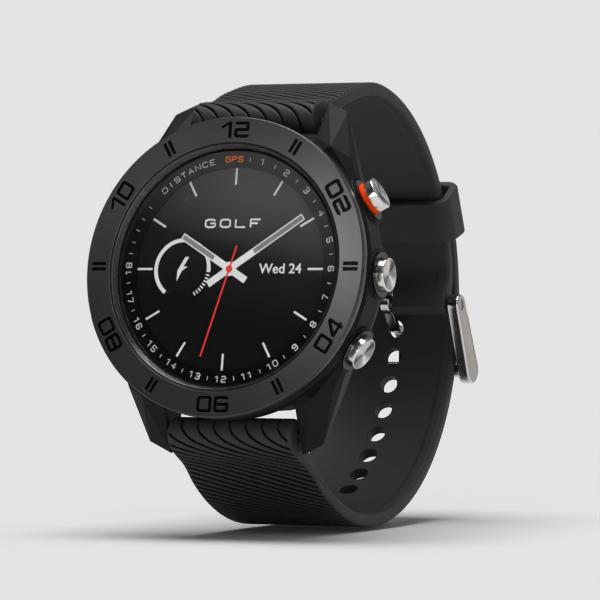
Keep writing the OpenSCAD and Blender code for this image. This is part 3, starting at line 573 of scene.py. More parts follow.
NODE_FINISH: dict[Finish, tuple[str, ...]] = {
    CASE_NYLON: ("case", "rear_cover"),
    BEZEL_COAT: ("bezel",),
    RING_STEEL: ("lens_ring",),
    NITRILE: ("rear_gasket", "bezel_gasket", "lens_gasket", "top_oring", "middle_oring", "bottom_oring"),
    TUMBLED: ("rear_screws", "chassis_screws", "charge_contacts", "top_clip", "middle_clip", "bottom_clip"),
    BLACK_STEEL: ("top_sleeve", "middle_sleeve", "bottom_sleeve"),
    SPRING_WIRE: ("top_spring", "middle_spring", "bottom_spring", "upper_bar_spring", "lower_bar_spring"),
    DARK_STEEL: ("upper_bar", "lower_bar", "upper_release_pin", "lower_release_pin", "buckle_pin"),
    ORANGE: ("top_button_ring",),
    PANEL: ("display_panel",),
    ACRYLIC: ("backlight",),
    ABS: ("display_frame", "vibration_motor", "contact_block"),
    ALUMINA: ("gps_antenna",),
    POLYIMIDE: ("flex_cable",),
    POUCH: ("battery",),
    EPOXY: ("board_components", "button_switches"),
    BOARD: ("main_board",),
}


# ---- shapes ----


def turned(profile: Sequence[Point2], steps: int = 144) -> BMesh:
    """Turns an outline about +Z, as a lathe does.

    Args:
        profile: Radius and height of each corner, in order. It closes on itself unless both
            ends lie on the axis.
        steps: How many flats go round.

    Returns:
        A closed shape.
    """
    shape = bmesh.new()
    corners = [shape.verts.new((radius, 0, height)) for radius, height in profile]
    pairs = list(zip(corners, corners[1:]))
    if profile[0][0] > 0 or profile[-1][0] > 0:
        pairs.append((corners[-1], corners[0]))
    lines = [shape.edges.new(pair) for pair in pairs]
    bmesh.ops.spin(
        shape, geom=corners + lines, cent=(0, 0, 0), axis=(0, 0, 1), angle=TURN, steps=steps, use_merge=True
    )
    bmesh.ops.remove_doubles(shape, verts=shape.verts, dist=1e-4)
    bmesh.ops.dissolve_degenerate(shape, edges=shape.edges, dist=1e-5)
    bmesh.ops.recalc_face_normals(shape, faces=shape.faces)
    return shape


def slab(outline: Sequence[Point2], low: float, high: float, bevel: float = 0.0, segments: int = 2) -> BMesh:
    """Makes a plate from an outline in the plane of x and y.

    Args:
        outline: The corners in order.
        low: Height of the underside.
        high: Height of the face.
        bevel: Width of the rounding round both faces.
        segments: Flats across that rounding.

    Returns:
        A closed shape.
    """
    shape = bmesh.new()
    corners = [shape.verts.new((x, y, low)) for x, y in outline]
    base = bmesh.ops.contextual_create(shape, geom=corners)["faces"]
    lifted = bmesh.ops.extrude_face_region(shape, geom=base, use_keep_orig=True)["geom"]
    risen = [item for item in lifted if isinstance(item, bmesh.types.BMVert)]
    bmesh.ops.translate(shape, vec=(0, 0, high - low), verts=risen)
    bmesh.ops.recalc_face_normals(shape, faces=shape.faces)
    if bevel:
        rims = [edge for edge in shape.edges if abs(edge.verts[0].co.z - edge.verts[1].co.z) < 1e-6]
        bmesh.ops.bevel(
            shape, geom=rims, offset=bevel, offset_type="OFFSET", segments=segments, profile=0.5,
            affect="EDGES", material=-1, clamp_overlap=True,
        )
    return shape


def skin(rows: int, columns: int, place: Callable[[int, int], Vector], closed: bool = False) -> BMesh:
    """Bends a grid into a skin whose rows close on themselves.

    Args:
        rows: How many rows run round the shape; the last one lies on the first.
        columns: How many points each row has.
        place: Gives the place of a row's and a column's point.
        closed: Whether the columns close on themselves too.

    Returns:
        A closed shape, with its two open sides filled.
    """
    shape = bmesh.new()
    bmesh.ops.create_grid(shape, x_segments=columns - 1, y_segments=rows - 1, size=1.0)
    shape.verts.ensure_lookup_table()
    for number, vert in enumerate(shape.verts):
        vert.co = place(*divmod(number, columns))
    ends = [edge for edge in shape.edges if edge.is_boundary]
    bmesh.ops.remove_doubles(shape, verts=list({v for edge in ends for v in edge.verts}), dist=1e-4)
    if not closed:
        bmesh.ops.holes_fill(shape, edges=[edge for edge in shape.edges if edge.is_boundary], sides=0)
    bmesh.ops.recalc_face_normals(shape, faces=shape.faces)
    return shape


def rod(radius: float, start: float, end: float, y: float = 0.0, z: float = 0.0, bevel: float = 0.0) -> BMesh:
    """Makes a rod along x, from start to end, with its axis at y and z.

    Args:
        radius: Half its thickness.
        start: Where it begins on x.
        end: Where it ends on x.
        y: Its axis's place on y.
        z: Its axis's place on z.
        bevel: Width of the chamfer at both ends.

    Returns:
        The closed rod.
    """
    half = (end - start) / 2
    profile = [(0, -half), (radius - bevel, -half), (radius, bevel - half)]
    if not bevel:
        profile = [(0, -half), (radius, -half)]
    shape = turned(profile + [(r, -h) for r, h in reversed(profile)], steps=64)
    turn = Matrix.Translation((start + half, y, z)) @ Matrix.Rotation(math.pi / 2, 4, "Y")
    bmesh.ops.transform(shape, matrix=turn, verts=shape.verts)
    return shape


def block(low: Sequence[float], high: Sequence[float]) -> BMesh:
    """Makes a cutter with square corners from its lowest and highest corners.

    Args:
        low: The corner with the least x, y and z.
        high: The corner with the most.

    Returns:
        The closed cutter.
    """
    shape = bmesh.new()
    middle = (Vector(low) + Vector(high)) / 2
    size = Vector(high) - Vector(low)
    bmesh.ops.create_cube(shape, size=1.0, matrix=Matrix.Translation(middle) @ Matrix.Diagonal((*size, 1)))
    return shape


def join(parts: Iterable[tuple[BMesh, Matrix]]) -> BMesh:
    """Puts shapes, each with its own placing, into one.

    Args:
        parts: Each shape with its placing; the shapes are used up.

    Returns:
        One mesh that holds them all.
    """
    whole = bmesh.new()
    for part, turn in parts:
        carrier = bpy.data.meshes.new("carrier")
        bmesh.ops.transform(part, matrix=turn, verts=part.verts)
        part.to_mesh(carrier)
        part.free()
        whole.from_mesh(carrier)
        bpy.data.meshes.remove(carrier)
    return whole


def carve(shape: BMesh, *cutters: BMesh) -> BMesh:
    """Cuts shapes out of another, one after the other.

    Args:
        shape: What is cut.
        cutters: What is cut away; pieces in one cutter don't touch each other.

    Returns:
        What is left.
    """
    things = []
    for part in (shape, *cutters):
        mesh = bpy.data.meshes.new("carving")
        part.to_mesh(mesh)
        part.free()
        things.append(bpy.data.objects.new("carving", mesh))
        bpy.context.scene.collection.objects.link(things[-1])
    for cutter in things[1:]:
        cut = things[0].modifiers.new("cut", "BOOLEAN")
        cut.operation, cut.solver, cut.object = "DIFFERENCE", "EXACT", cutter
    left = bpy.data.meshes.new_from_object(things[0].evaluated_get(bpy.context.evaluated_depsgraph_get()))
    result = bmesh.new()
    result.from_mesh(left)
    for thing in things:
        bpy.data.objects.remove(thing)
    bpy.data.meshes.remove(left)
    return result


@dataclass(frozen=True)
class Part:
    """Where a piece belongs: its body, the name of a material slot, which publish doesn't use, and the nodes it stands
    for.
    """

    body: str
    slot: str
    nodes: tuple[str, ...] = ()

    def publish(self, name: str, shape: BMesh, *finishes: Finish, turn: Matrix | None = None) -> bpy.types.Object:
        """Turns a shape into a piece of the watch.

        Args:
            name: The piece's name.
            shape: Its shape in millimetres, which is used up.
            finishes: Its finishes, in the order of its faces' material numbers.
            turn: Where the shape goes in the watch's frame.

        Returns:
            The piece.
        """
        placing = Matrix.Scale(MM, 4) @ (turn or Matrix.Identity(4))
        bmesh.ops.transform(shape, matrix=placing, verts=shape.verts)
        for edge in shape.edges:
            edge.smooth = len(edge.link_faces) == 2 and edge.calc_face_angle(0.0) < CREASE
        for face in shape.faces:
            face.smooth = True
        mesh = bpy.data.meshes.new(name)
        shape.to_mesh(mesh)
        shape.free()
        for finish in finishes:
            mesh.materials.append(finish.material())
        piece = bpy.data.objects.new(name, mesh)
        bpy.context.scene.collection.objects.link(piece)
        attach(piece, self.body)
        if self.nodes:
            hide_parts(*self.nodes)
        LOG.info("%s: %d faces on %s", name, len(mesh.polygons), self.body)
        return piece


# ---- lettering ----

# Strokes of each sign on a grid of 4 by 6, as points "xy"; a stroke ends at a semicolon.
STROKES = {
    "0": "10 30 41 45 36 16 05 01 10",
    "1": "05 26 20",
    "2": "05 16 36 45 44 33 13 02 00 40",
    "3": "05 16 36 45 44 33 13;33 42 41 30 10 01",
    "4": "30 36 02 42",
    "5": "46 06 03 33 42 41 30 10 01",
    "6": "45 36 16 05 01 10 30 41 42 33 03",
    "7": "06 46 20",
    "8": "13 04 05 16 36 45 44 33 13 02 01 10 30 41 42 33",
    "9": "01 10 30 41 45 36 16 05 04 13 43",
    "A": "00 26 40;12 32",
    "C": "45 36 16 05 01 10 30 41",
    "D": "00 06 36 45 41 30 00",
    "E": "46 06 00 40;03 33",
    "F": "46 06 00;03 33",
    "G": "45 36 16 05 01 10 30 41 43 23",
    "I": "20 26",
    "L": "06 00 40",
    "N": "00 06 40 46",
    "O": "10 30 41 45 36 16 05 01 10",
    "P": "00 06 36 45 44 33 03",
    "S": "45 36 16 05 04 13 33 42 41 30 10 01",
    "T": "06 46;26 20",
}
GRID = (4, 6)


@dataclass(frozen=True)
class Pen:
    """A wide, squared style of lettering, drawn with a pen of one width."""

    height: float
    width: float
    line: float
    gap: float = 0.35

    def sign(self, letter: str) -> BMesh:
        """Draws one sign, flat and centred, as a ribbon along its strokes.

        Args:
            letter: A key of the pen's strokes.

        Returns:
            The flat sign.
        """
        curve = bpy.data.curves.new("pen", "CURVE")
        curve.dimensions, curve.twist_mode = "3D", "Z_UP"
        curve.bevel_depth, curve.bevel_resolution, curve.use_fill_caps = self.line / 2, 1, True
        for stroke in STROKES[letter].split(";"):
            points = stroke.split()
            ring = points[0] == points[-1]
            points = points[:-1] if ring else points
            spline = curve.splines.new("POLY")
            spline.points.add(len(points) - 1)
            spline.use_cyclic_u = ring
            for knot, (across, up) in zip(spline.points, points):
                x = (int(across) / GRID[0] - 0.5) * (self.width - self.line)
                y = (int(up) / GRID[1] - 0.5) * (self.height - self.line)
                knot.co = (x, y, 0, 1)
        carrier = bpy.data.objects.new("pen", curve)
        bpy.context.scene.collection.objects.link(carrier)
        mesh = bpy.data.meshes.new_from_object(carrier.evaluated_get(bpy.context.evaluated_depsgraph_get()))
        shape = bmesh.new()
        shape.from_mesh(mesh)
        bpy.data.objects.remove(carrier)
        bpy.data.curves.remove(curve)
        bpy.data.meshes.remove(mesh)
        bmesh.ops.scale(shape, vec=(1, 1, 0.02 / self.line), verts=shape.verts)
        return shape

    def word(self, text: str) -> BMesh:
        """Draws a word on one line, centred.

        Args:
            text: The word, in the signs that the pen has.

        Returns:
            The flat word.
        """
        pitch = self.width + self.gap
        start = -pitch * (len(text) - 1) / 2
        return join(
            (self.sign(letter), Matrix.Translation((start + pitch * at, 0, 0)))
            for at, letter in enumerate(text)
            if letter != " "
        )


def plain_text(text: str, height: float, bold: float) -> BMesh:
    """Makes a word in the plain round typeface, left at the origin.

    Args:
        text: The word.
        height: Size of the type.
        bold: How far each stroke is fattened.

    Returns:
        A thin raised shape.
    """
    curve = bpy.data.curves.new("type", "FONT")
    curve.body, curve.size, curve.offset = text, height, bold
    curve.extrude, curve.align_x, curve.align_y = 0.01, "CENTER", "CENTER"
    carrier = bpy.data.objects.new("type", curve)
    bpy.context.scene.collection.objects.link(carrier)
    mesh = bpy.data.meshes.new_from_object(carrier.evaluated_get(bpy.context.evaluated_depsgraph_get()))
    shape = bmesh.new()
    shape.from_mesh(mesh)
    bpy.data.objects.remove(carrier)
    bpy.data.curves.remove(curve)
    bpy.data.meshes.remove(mesh)
    bmesh.ops.remove_doubles(shape, verts=shape.verts, dist=1e-4)
    return shape


# ---- the head ----


@dataclass
class Dial:
    """The printed border and what the display shows."""

    border_inner: float = 14.55
    border_outer: float = 16.95
    border_low: float = 9.35
    border_top: float = 9.52
    number_radius: float = 15.78
    panel_top: float = 9.3
    tick_radius: tuple[float, float] = (12.13, 14.48)
    tick_width: float = 0.30
    holes: int = 18
    number_pen: Pen = field(default_factory=lambda: Pen(0.98, 0.82, 0.16, 0.16))
    word_pen: Pen = field(default_factory=lambda: Pen(0.88, 0.92, 0.15, 0.25))
    title_pen: Pen = field(default_factory=lambda: Pen(1.36, 1.75, 0.27, 0.6))
    accent_pen: Pen = field(default_factory=lambda: Pen(0.92, 0.85, 0.17, 0.2))
    screen: Part = Part("watch", "display")
    print_: Part = Part("watch", "border_ink")

    @staticmethod
    def at(compass: float, radius: float, height: float, flip: bool = False) -> Matrix:
        """Places a sign at a compass angle on the dial, with its top outwards, or inwards if flipped."""
        spin = Matrix.Rotation(-math.radians(compass), 4, "Z")
        own = Matrix.Rotation(math.pi if flip else 0.0, 4, "Z")
        return spin @ Matrix.Translation((0, radius, height)) @ own

    @staticmethod
    def bar(x0: float, x1: float, y0: float, y1: float, thick: float = 0.02) -> BMesh:
        """Makes one flat bar of the display."""
        return slab([(x0, y0), (x1, y0), (x1, y1), (x0, y1)], 0.0, thick)

    def build_border(self) -> None:
        """Builds the printed ring under the glass with its hole numbers and words."""
        ring = turned(
            [
                (self.border_inner, self.border_low),
                (self.border_outer, self.border_low),
                (self.border_outer, self.border_top),
                (self.border_inner, self.border_top),
            ],
            steps=180,
        )
        Part("watch", "border_ink", ("dial_border",)).publish("border_ring", ring, BORDER_INK, turn=ON_DIAL)
        height = self.border_top + 0.008
        marks: list[tuple[BMesh, Matrix]] = []
        for number in range(1, self.holes + 1):
            compass = 15.0 * number
            flip = 6 < number < self.holes
            marks.append((self.number_pen.word(str(number)), self.at(compass, self.number_radius, height, flip)))
        short = 0.28
        for step in range(self.holes):
            compass = 7.5 + 15 * step
            tick = self.bar(-0.05, 0.05, -short, short)
            marks.append((tick, self.at(compass, self.number_radius, self.border_top)))
        for compass in (278.0, 284.0, 290.5, 297.0, 304.0):
            marks.append((self.bar(-0.06, 0.06, -0.3, 0.3), self.at(compass, self.number_radius, self.border_top)))
        for at, letter in enumerate("DISTANCE"):
            compass = 315.9 + at * 4.3
            marks.append((self.word_pen.sign(letter), self.at(compass, self.number_radius, height)))
        self.print_.publish("border_numbers", join(marks), NUMBER_INK, turn=ON_DIAL)
        accent = [
            (self.accent_pen.sign(letter), self.at(354.9 + at * 3.6, self.number_radius, height))
            for at, letter in enumerate("GPS")
        ]
        self.print_.publish("border_accent", join(accent), ACCENT_INK, turn=ON_DIAL)

    def build_marks(self) -> None:
        """Builds the hour marks, the title, the date and the battery gauge."""
        top = self.panel_top
        low, high = self.tick_radius
        half = self.tick_width / 2
        ticks = [(self.bar(-half, half, low, high), self.at(30 * hour, 0, top)) for hour in range(12)]
        self.screen.publish("hour_marks", join(ticks), PIXEL_WHITE, turn=ON_DIAL)
        title = self.title_pen.word("GOLF")
        self.screen.publish("dial_title", title, PIXEL_WHITE, turn=ON_DIAL @ Matrix.Translation((0, 6.55, top + 0.012)))
        date = plain_text("Wed 24", 1.98, 0.028)
        self.screen.publish("date", date, PIXEL_WHITE, turn=ON_DIAL @ Matrix.Translation((7.9, 0.0, top + 0.012)))
        self.build_gauge(Vector((-7.4, 0.0, top)))

    def build_gauge(self, centre: Vector) -> None:
        """Builds the battery gauge: a heavy arc, a run of short dashes and a bolt.

        Args:
            centre: The middle of the gauge's arc.
        """
        radius, width = 4.15, 0.56

        def arc(start: float, sweep: float, steps: int) -> BMesh:
            """Bends a thin bar round the gauge from a compass angle.

            Args:
                start: Compass angle where it begins.
                sweep: How far it goes, in degrees.
                steps: How many parts it bends in.

            Returns:
                The bent bar.
            """
            shape = bmesh.new()
            corners = [shape.verts.new((x, 0, z)) for x, z in ((0, 0), (width, 0), (width, 0.02), (0, 0.02))]
            face = shape.faces.new(corners)
            bmesh.ops.translate(shape, vec=(radius - width / 2, 0, 0), verts=corners)
            bmesh.ops.rotate(shape, matrix=Matrix.Rotation(math.radians(90 - start), 3, "Z"), verts=corners)
            geometry = [face, *face.edges, *face.verts]
            bmesh.ops.spin(
                shape, geom=geometry, cent=(0, 0, 0), axis=(0, 0, 1), angle=-math.radians(sweep), steps=steps
            )
            bmesh.ops.recalc_face_normals(shape, faces=shape.faces)
            return shape

        place = Matrix.Translation(centre)
        parts = [(arc(216, 240, 60), place)]
        parts += [(arc(101 + 6.6 * dash, 2.6, 2), place) for dash in range(8)]
        bolt = [(0.35, 1.75), (-0.75, -0.25), (-0.05, -0.25), (-0.75, -1.75), (0.8, 0.35), (0.15, 0.35), (0.95, 1.75)]
        parts.append((slab(bolt, 0.0, 0.02), place))
        self.screen.publish("battery_gauge", join(parts), PIXEL_WHITE, turn=ON_DIAL)

    def hand(self, compass: float, length: float, tail: float, width: float, hollow: float, lift: float) -> BMesh:
        """Builds a baton hand with a darker window.

        Args:
            compass: Where it points.
            length: Length from the centre to the tip.
            tail: Length behind the centre.
            width: Width of the baton.
            hollow: Distance from the centre at which the window starts.
            lift: Height above the display.

        Returns:
            A shape whose window has the second finish.
        """
        half, rim = width / 2, 0.17
        shape = self.bar(-half, half, -tail, length)
        window = self.bar(-half + rim, half - rim, hollow, length - rim, 0.024)
        for face in window.faces:
            face.material_index = 1
        place = self.at(compass, 0, lift)
        return join([(shape, place), (window, place)])

    def build_hands(self) -> None:
        """Builds the three hands, at eight minutes past ten."""
        top = self.panel_top
        hour = self.hand(301.5, 9.05, 3.1, 1.02, 3.0, top + 0.028)
        self.screen.publish("hour_hand", hour, PIXEL_WHITE, PIXEL_GREY, turn=ON_DIAL)
        minute = self.hand(55.5, 13.2, 3.9, 1.02, 4.4, top + 0.056)
        self.screen.publish("minute_hand", minute, PIXEL_WHITE, PIXEL_GREY, turn=ON_DIAL)
        hub = turned([(0, 0), (1.02, 0), (1.02, 0.02), (0, 0.02)], steps=64)
        self.screen.publish("hand_hub", hub, PIXEL_WHITE, turn=ON_DIAL @ Matrix.Translation((0, 0, top + 0.084)))
        sweep = join(
            [
                (self.bar(-0.13, 0.13, -3.45, 13.05), self.at(195.5, 0, top + 0.108)),
                (turned([(0, 0), (0.5, 0), (0.5, 0.02), (0, 0.02)], steps=48), Matrix.Translation((0, 0, top + 0.13))),
            ]
        )
        self.screen.publish("seconds_hand", sweep, PIXEL_RED, turn=ON_DIAL)

    def build(self) -> None:
        """Builds everything under the glass that shows."""
        self.build_border()
        self.build_marks()
        self.build_hands()


@dataclass
class Lens:
    """The flat glass over the dial."""

    radius: float = 16.95
    low: float = 9.575
    top: float = 10.93
    chamfer: float = 0.15

    def build(self) -> None:
        """Builds the glass, which casts no shadow on the display."""
        glass = turned(
            [
                (0, self.low),
                (self.radius, self.low),
                (self.radius, self.top - self.chamfer),
                (self.radius - self.chamfer, self.top),
                (0, self.top),
            ],
            steps=180,
        )
        for face in glass.faces:
            if face.calc_center_median().xy.length > self.radius - self.chamfer - 0.01:
                face.material_index = 1
        piece = Part("watch", "cover_glass", ("lens",)).publish("glass", glass, GLASS, EDGE_INK, turn=ON_DIAL)
        piece.visible_shadow = False


# ---- buttons ----


class Place(Enum):
    """Where a button is, as its angle up from 3 o'clock."""

    TOP = 30
    MIDDLE = 0
    BOTTOM = -30


@dataclass
class Button:
    """A turned steel button with a dished, spun end."""

    place: Place
    end: float
    collar: bool = False
    height: float = 5.2
    radius: float = 2.4
    shaft: float = 0.8
    neck: float = 0.5
    web: float = 1.0
    hollow_from: float = 20.2
    dish: float = 0.14

    @property
    def label(self) -> str:
        """The button's name, as in its nodes and body."""
        return self.place.name.lower()

    def profile(self) -> list[Point2]:
        """Gives the button's outline, from the shaft's tip to the middle of its end face.

        Returns:
            The corners in order, as radius and distance from the case's axis.
        """
        clip, seal = 17.22, 18.5
        r, s, n, end = self.radius, self.shaft, self.neck, self.end
        line: list[Point2] = [(0, 16.6), (s - 0.15, 16.6), (s, 16.75), (s, clip - 0.22)]
        line += [(n, clip - 0.22), (n, clip + 0.02), (s, clip + 0.02), (s, seal - 0.3)]
        line += [(n, seal - 0.3), (n, seal + 0.3), (s, seal + 0.3), (s, end - self.web)]
        line += [(r - 0.45, end - self.web), (r - 0.45, self.hollow_from)]
        line += [(r - 0.05, self.hollow_from), (r, self.hollow_from + 0.05)]
        if self.collar:
            line += [(r, 21.45), (r - 0.3, 21.45), (r - 0.3, 22.25), (r, 22.25)]
        round_ = 0.2
        for step in range(5):
            a = math.pi / 2 * step / 4
            line.append((r - round_ + round_ * math.cos(a), end - round_ + round_ * math.sin(a)))
        rim = r - 0.36
        for step in range(1, 9):
            t = step / 8
            line.append((rim * (1 - t), end - self.dish * smooth(t * 1.15)))
        return line

    def build(self) -> None:
        """Builds the button and the finish of its end face."""
        turn = ON_DIAL @ Matrix.Rotation(math.radians(self.place.value), 4, "Z")
        turn = turn @ Matrix.Translation((0, 0, self.height)) @ Matrix.Rotation(math.pi / 2, 4, "Y")
        shape = turned(self.profile(), steps=128)
        for face in shape.faces:
            middle = face.calc_center_median()
            if middle.z > self.end - 0.2 and middle.xy.length < self.radius - 0.2:
                face.material_index = 1
        angle = math.radians(self.place.value)
        # Stainless steel faced on a lathe: a bright face with fine rings, and a painted highlight of light and dark fan
        # shapes about its axis.
        spun = Spun(
            f"stainless_steel_spun_{self.label}",
            "#d2cfcb",
            0.22,
            metallic=1.0,
            mottle=0.03,
            centre=(0, -self.height, 0),
            axis=(math.cos(angle), 0, math.sin(angle)),
            ring=0.14,
            scratch=0.0035,
        )
        part = Part(f"{self.label}_button_body", "brushed_steel", (f"{self.label}_button",))
        part.publish(f"{self.label}_button_cap", shape, POLISHED, spun, turn=turn)


# ---- straps ----


@dataclass
class Station:
    """A point of a strap's outline across the wrist, and what the skin does there."""

    y: float
    z: float
    along: float = 0.0  # distance from the rolled end on the outer side
    ribbed: float = 0.0  # share of the ribs' depth
    sunk: float = 0.0  # share of the inner side's recess
    half: float = 10.0  # half the strap's width


@dataclass
class Strap:
    """A silicone strap with a rolled end, fine slanting ribs outside and a framed inner side."""

    half: float = 10.0
    thick: float = 1.9
    edge: float = 0.5
    roll_inset: float = 0.4  # how much the rolled end is narrower on each side
    roll: float = 2.4
    roll_y: float = -4.0
    roll_z: float = 22.8
    bar_y: float = -2.9
    bar_z: float = 22.6
    bar_room: float = 0.95
    lug_blend: float = 117.5
    frame_end: float = 100.0  # the angle where the inner side's recess runs out
    rib_end: float = 62.0
    fine: float = 0.165
    coarse: float = 0.6
    column: float = 0.21
    groove_depth: float = 0.26
    groove_half: float = 0.34
    rib_rate: float = 0.79  # ribs per millimetre along the strap
    roll_rate: float = 0.4  # grooves per millimetre across the strap
    sweep_from: float = -4.2  # where on the roll the grooves start to turn across
    sweep: float = 5.7  # over what distance they turn
    frame_from: float = 8.5
    frame_depth: float = 0.14
    upward: int = -1

    def centre(self, angle: float) -> float:
        """Gives the y of the arc's centre at an angle."""
        raise NotImplementedError

    def middle(self, angle: float) -> float:
        """Gives the radius of the strap's middle at an angle."""
        raise NotImplementedError

    def depth(self, angle: float) -> float:
        """Gives the strap's thickness at an angle."""
        raise NotImplementedError

    def on_arc(self, angle: float, side: float) -> Point2:
        """Gives the point of the outer (1) or inner (-1) side at an angle."""
        a = math.radians(angle)
        radius = self.middle(angle) + side * self.depth(angle) / 2
        return self.centre(angle) + radius * math.cos(a), radius * math.sin(a)

    def width_at(self, angle: float) -> float:
        """Gives half the strap's width at an angle, less where it goes between the lugs."""
        return self.half - self.roll_inset * smooth((angle - self.lug_blend) / 12)

    def rounded_end(self, y: float, z: float, radius: float, start: float, count: int) -> list[Station]:
        """Gives a half turn round an end, without its first and last points."""
        steps = [math.radians(start + 180 * i / count) for i in range(1, count)]
        return [Station(y + radius * math.cos(a), z + radius * math.sin(a)) for a in steps]

    def lug_roll(self) -> list[Station]:
        """Gives the rolled end at the lugs, with the distance round it counted below zero.

        Returns:
            The stations of the rolled end, without its first and last points.
        """
        count = 36
        roll = self.rounded_end(self.roll_y, self.roll_z, self.roll, self.roll_angle, count)
        for number, station in enumerate(roll, 1):
            station.along = -math.pi * self.roll * number / count
            station.ribbed = 1.0
            station.half = self.half - self.roll_inset
        return roll

    def stations(self) -> list[Station]:
        """Gives the outline in order: outer side, rolled end, inner side, far end."""
        raise NotImplementedError

    def outer_side(self, start: float, end: float) -> list[Station]:
        """Gives the outer side from an angle to the rolled end, fine where it is ribbed.

        Args:
            start: The angle to start from, in degrees.
            end: The angle where the rolled end begins.

        Returns:
            The stations in order.
        """
        angles, angle = [], start
        while angle < end - 0.05:
            angles.append(angle)
            step = self.fine if angle >= self.rib_end - 1 else self.coarse
            angle += math.degrees(step / self.middle(angle))
        angles.append(end)
        points = [self.on_arc(a, 1) for a in angles]
        run, side = 0.0, []
        for number in range(len(points) - 1, -1, -1):
            if number < len(points) - 1:
                run += math.dist(points[number], points[number + 1])
            share = smooth((angles[number] - self.rib_end) / 2.5)
            side.append(Station(*points[number], along=run, ribbed=share, half=self.width_at(angles[number])))
        return side[::-1]

    def inner_side(self, start: float, end: float) -> list[Station]:
        """Gives the inner side from the rolled end back to an angle.

        Args:
            start: The angle at the rolled end, in degrees.
            end: The angle to end at.

        Returns:
            The stations in order.
        """
        count = math.ceil(math.radians(start - end) * self.middle(90) / 0.9)
        angles = [start + (end - start) * i / count for i in range(count + 1)]
        return [
            Station(*self.on_arc(a, -1), sunk=smooth((self.frame_end - a) / 12), half=self.width_at(a)) for a in angles
        ]

    def columns(self) -> list[tuple[float, float]]:
        """Gives each column as a share of the flat width and a share of the edge's rounding.

        Returns:
            The columns from the left edge to the right.
        """
        flat = self.half - self.edge
        count = round(2 * flat / self.column)
        quarter = [math.radians(a) for a in (90, 67.5, 45, 22.5)]
        across = [(-1.0, a) for a in quarter]
        across += [(2 * i / count - 1, 0.0) for i in range(count + 1)]
        return across + [(1.0, a) for a in reversed(quarter)]

    def groove(self, x: float, station: Station) -> float:
        """Gives how far down a groove the skin is, from 0 on a rib to 1 at the bottom.

        Args:
            x: Place across the strap.
            station: The row that the point is in.

        Returns:
            The share of the groove's full depth.
        """
        if not station.ribbed:
            return 0.0
        run = station.along - self.sweep_from
        t = min(1.0, max(0.0, run / self.sweep))
        run = self.rib_rate * (self.sweep * (t**3 - t**4 / 2) + max(0.0, run - self.sweep))
        level = run - x * self.roll_rate * self.upward
        off = abs((level + 0.5) % 1.0 - 0.5) / math.hypot(self.rib_rate * smooth(t), self.roll_rate)
        fade = smooth((station.half - 0.1 - abs(x)) / 0.4)
        width = self.groove_half * (0.4 + 0.6 * smooth(t))  # finer on the rolled end
        return (1 - smooth(off / width)) * station.ribbed * fade

    def body(self) -> BMesh:
        """Bends and ribs the strap's skin.

        Returns:
            The closed skin, with its grooves marked for the material.
        """
        stations = self.stations()
        count = len(stations)
        normals = []
        for number in range(count):
            before, after = stations[number - 1], stations[(number + 1) % count]
            normals.append(Vector((0, after.z - before.z, before.y - after.y)).normalized())
        columns = self.columns()
        shades: dict[tuple[int, int], float] = {}

        def place(row: int, column: int) -> Vector:
            """Gives the place of one point of the skin.

            Args:
                row: Which row of the grid.
                column: Which column.

            Returns:
                The place in millimetres.
            """
            number = row % count
            station, normal = stations[number], normals[number]
            share, round_ = columns[column]
            x = share * (station.half - self.edge + self.edge * math.sin(round_))
            inset = self.edge * (1 - math.cos(round_))
            dip = self.groove(x, station)
            shades[number, column] = dip
            frame_dip = self.frame_depth * smooth((self.frame_from - abs(x)) / 0.6) * station.sunk
            return Vector((x, station.y, station.z)) - normal * (inset + dip * self.groove_depth + frame_dip)

        shape = bmesh.new()
        bmesh.ops.create_grid(shape, x_segments=len(columns) - 1, y_segments=count, size=1.0)
        # How deep each point lies in a groove; the material paints shade there.
        layer = shape.verts.layers.float.new("groove")
        shape.verts.ensure_lookup_table()
        for number, vert in enumerate(shape.verts):
            row, column = divmod(number, len(columns))
            vert.co = place(row, column)
            vert[layer] = shades[row % count, column]
        ends = [vert for number, vert in enumerate(shape.verts) if number // len(columns) in (0, count)]
        bmesh.ops.remove_doubles(shape, verts=ends, dist=1e-4)
        bmesh.ops.holes_fill(shape, edges=[edge for edge in shape.edges if edge.is_boundary], sides=0)
        bmesh.ops.recalc_face_normals(shape, faces=shape.faces)
        return shape

    def bar_cutters(self) -> tuple[BMesh, BMesh]:
        """Gives the bore for the bar, and the slot for its release lever."""
        bore = rod(self.bar_room, -12, 12, self.bar_y, self.bar_z)
        slot = block((5.3, self.bar_y, self.bar_z - 0.6), (7.8, self.bar_y + 6, self.bar_z + 0.6))
        return bore, slot

    def hole(self, y: float, z: float, angle: float, radius: float = 1.4) -> tuple[BMesh, Matrix]:
        """Gives the cutter of one chamfered hole, on its axis.

        Args:
            y: The middle of the strap's thickness on y.
            z: The same on z.
            angle: The hole's lean, in degrees.
            radius: The hole's radius.

        Returns:
            The cutter and its placing.
        """
        half, lip = self.thick / 2, 0.22
        cutter = turned(
            [
                (0, -2),
                (radius + lip, -2),
                (radius + lip, -half - 0.02),
                (radius, lip - half),
                (radius, half - lip),
                (radius + lip, half + 0.02),
                (radius + lip, 2),
                (0, 2),
            ],
            steps=48,
        )
        return cutter, Matrix.Translation((0, y, z)) @ Matrix.Rotation(angle - math.pi / 2, 4, "X")


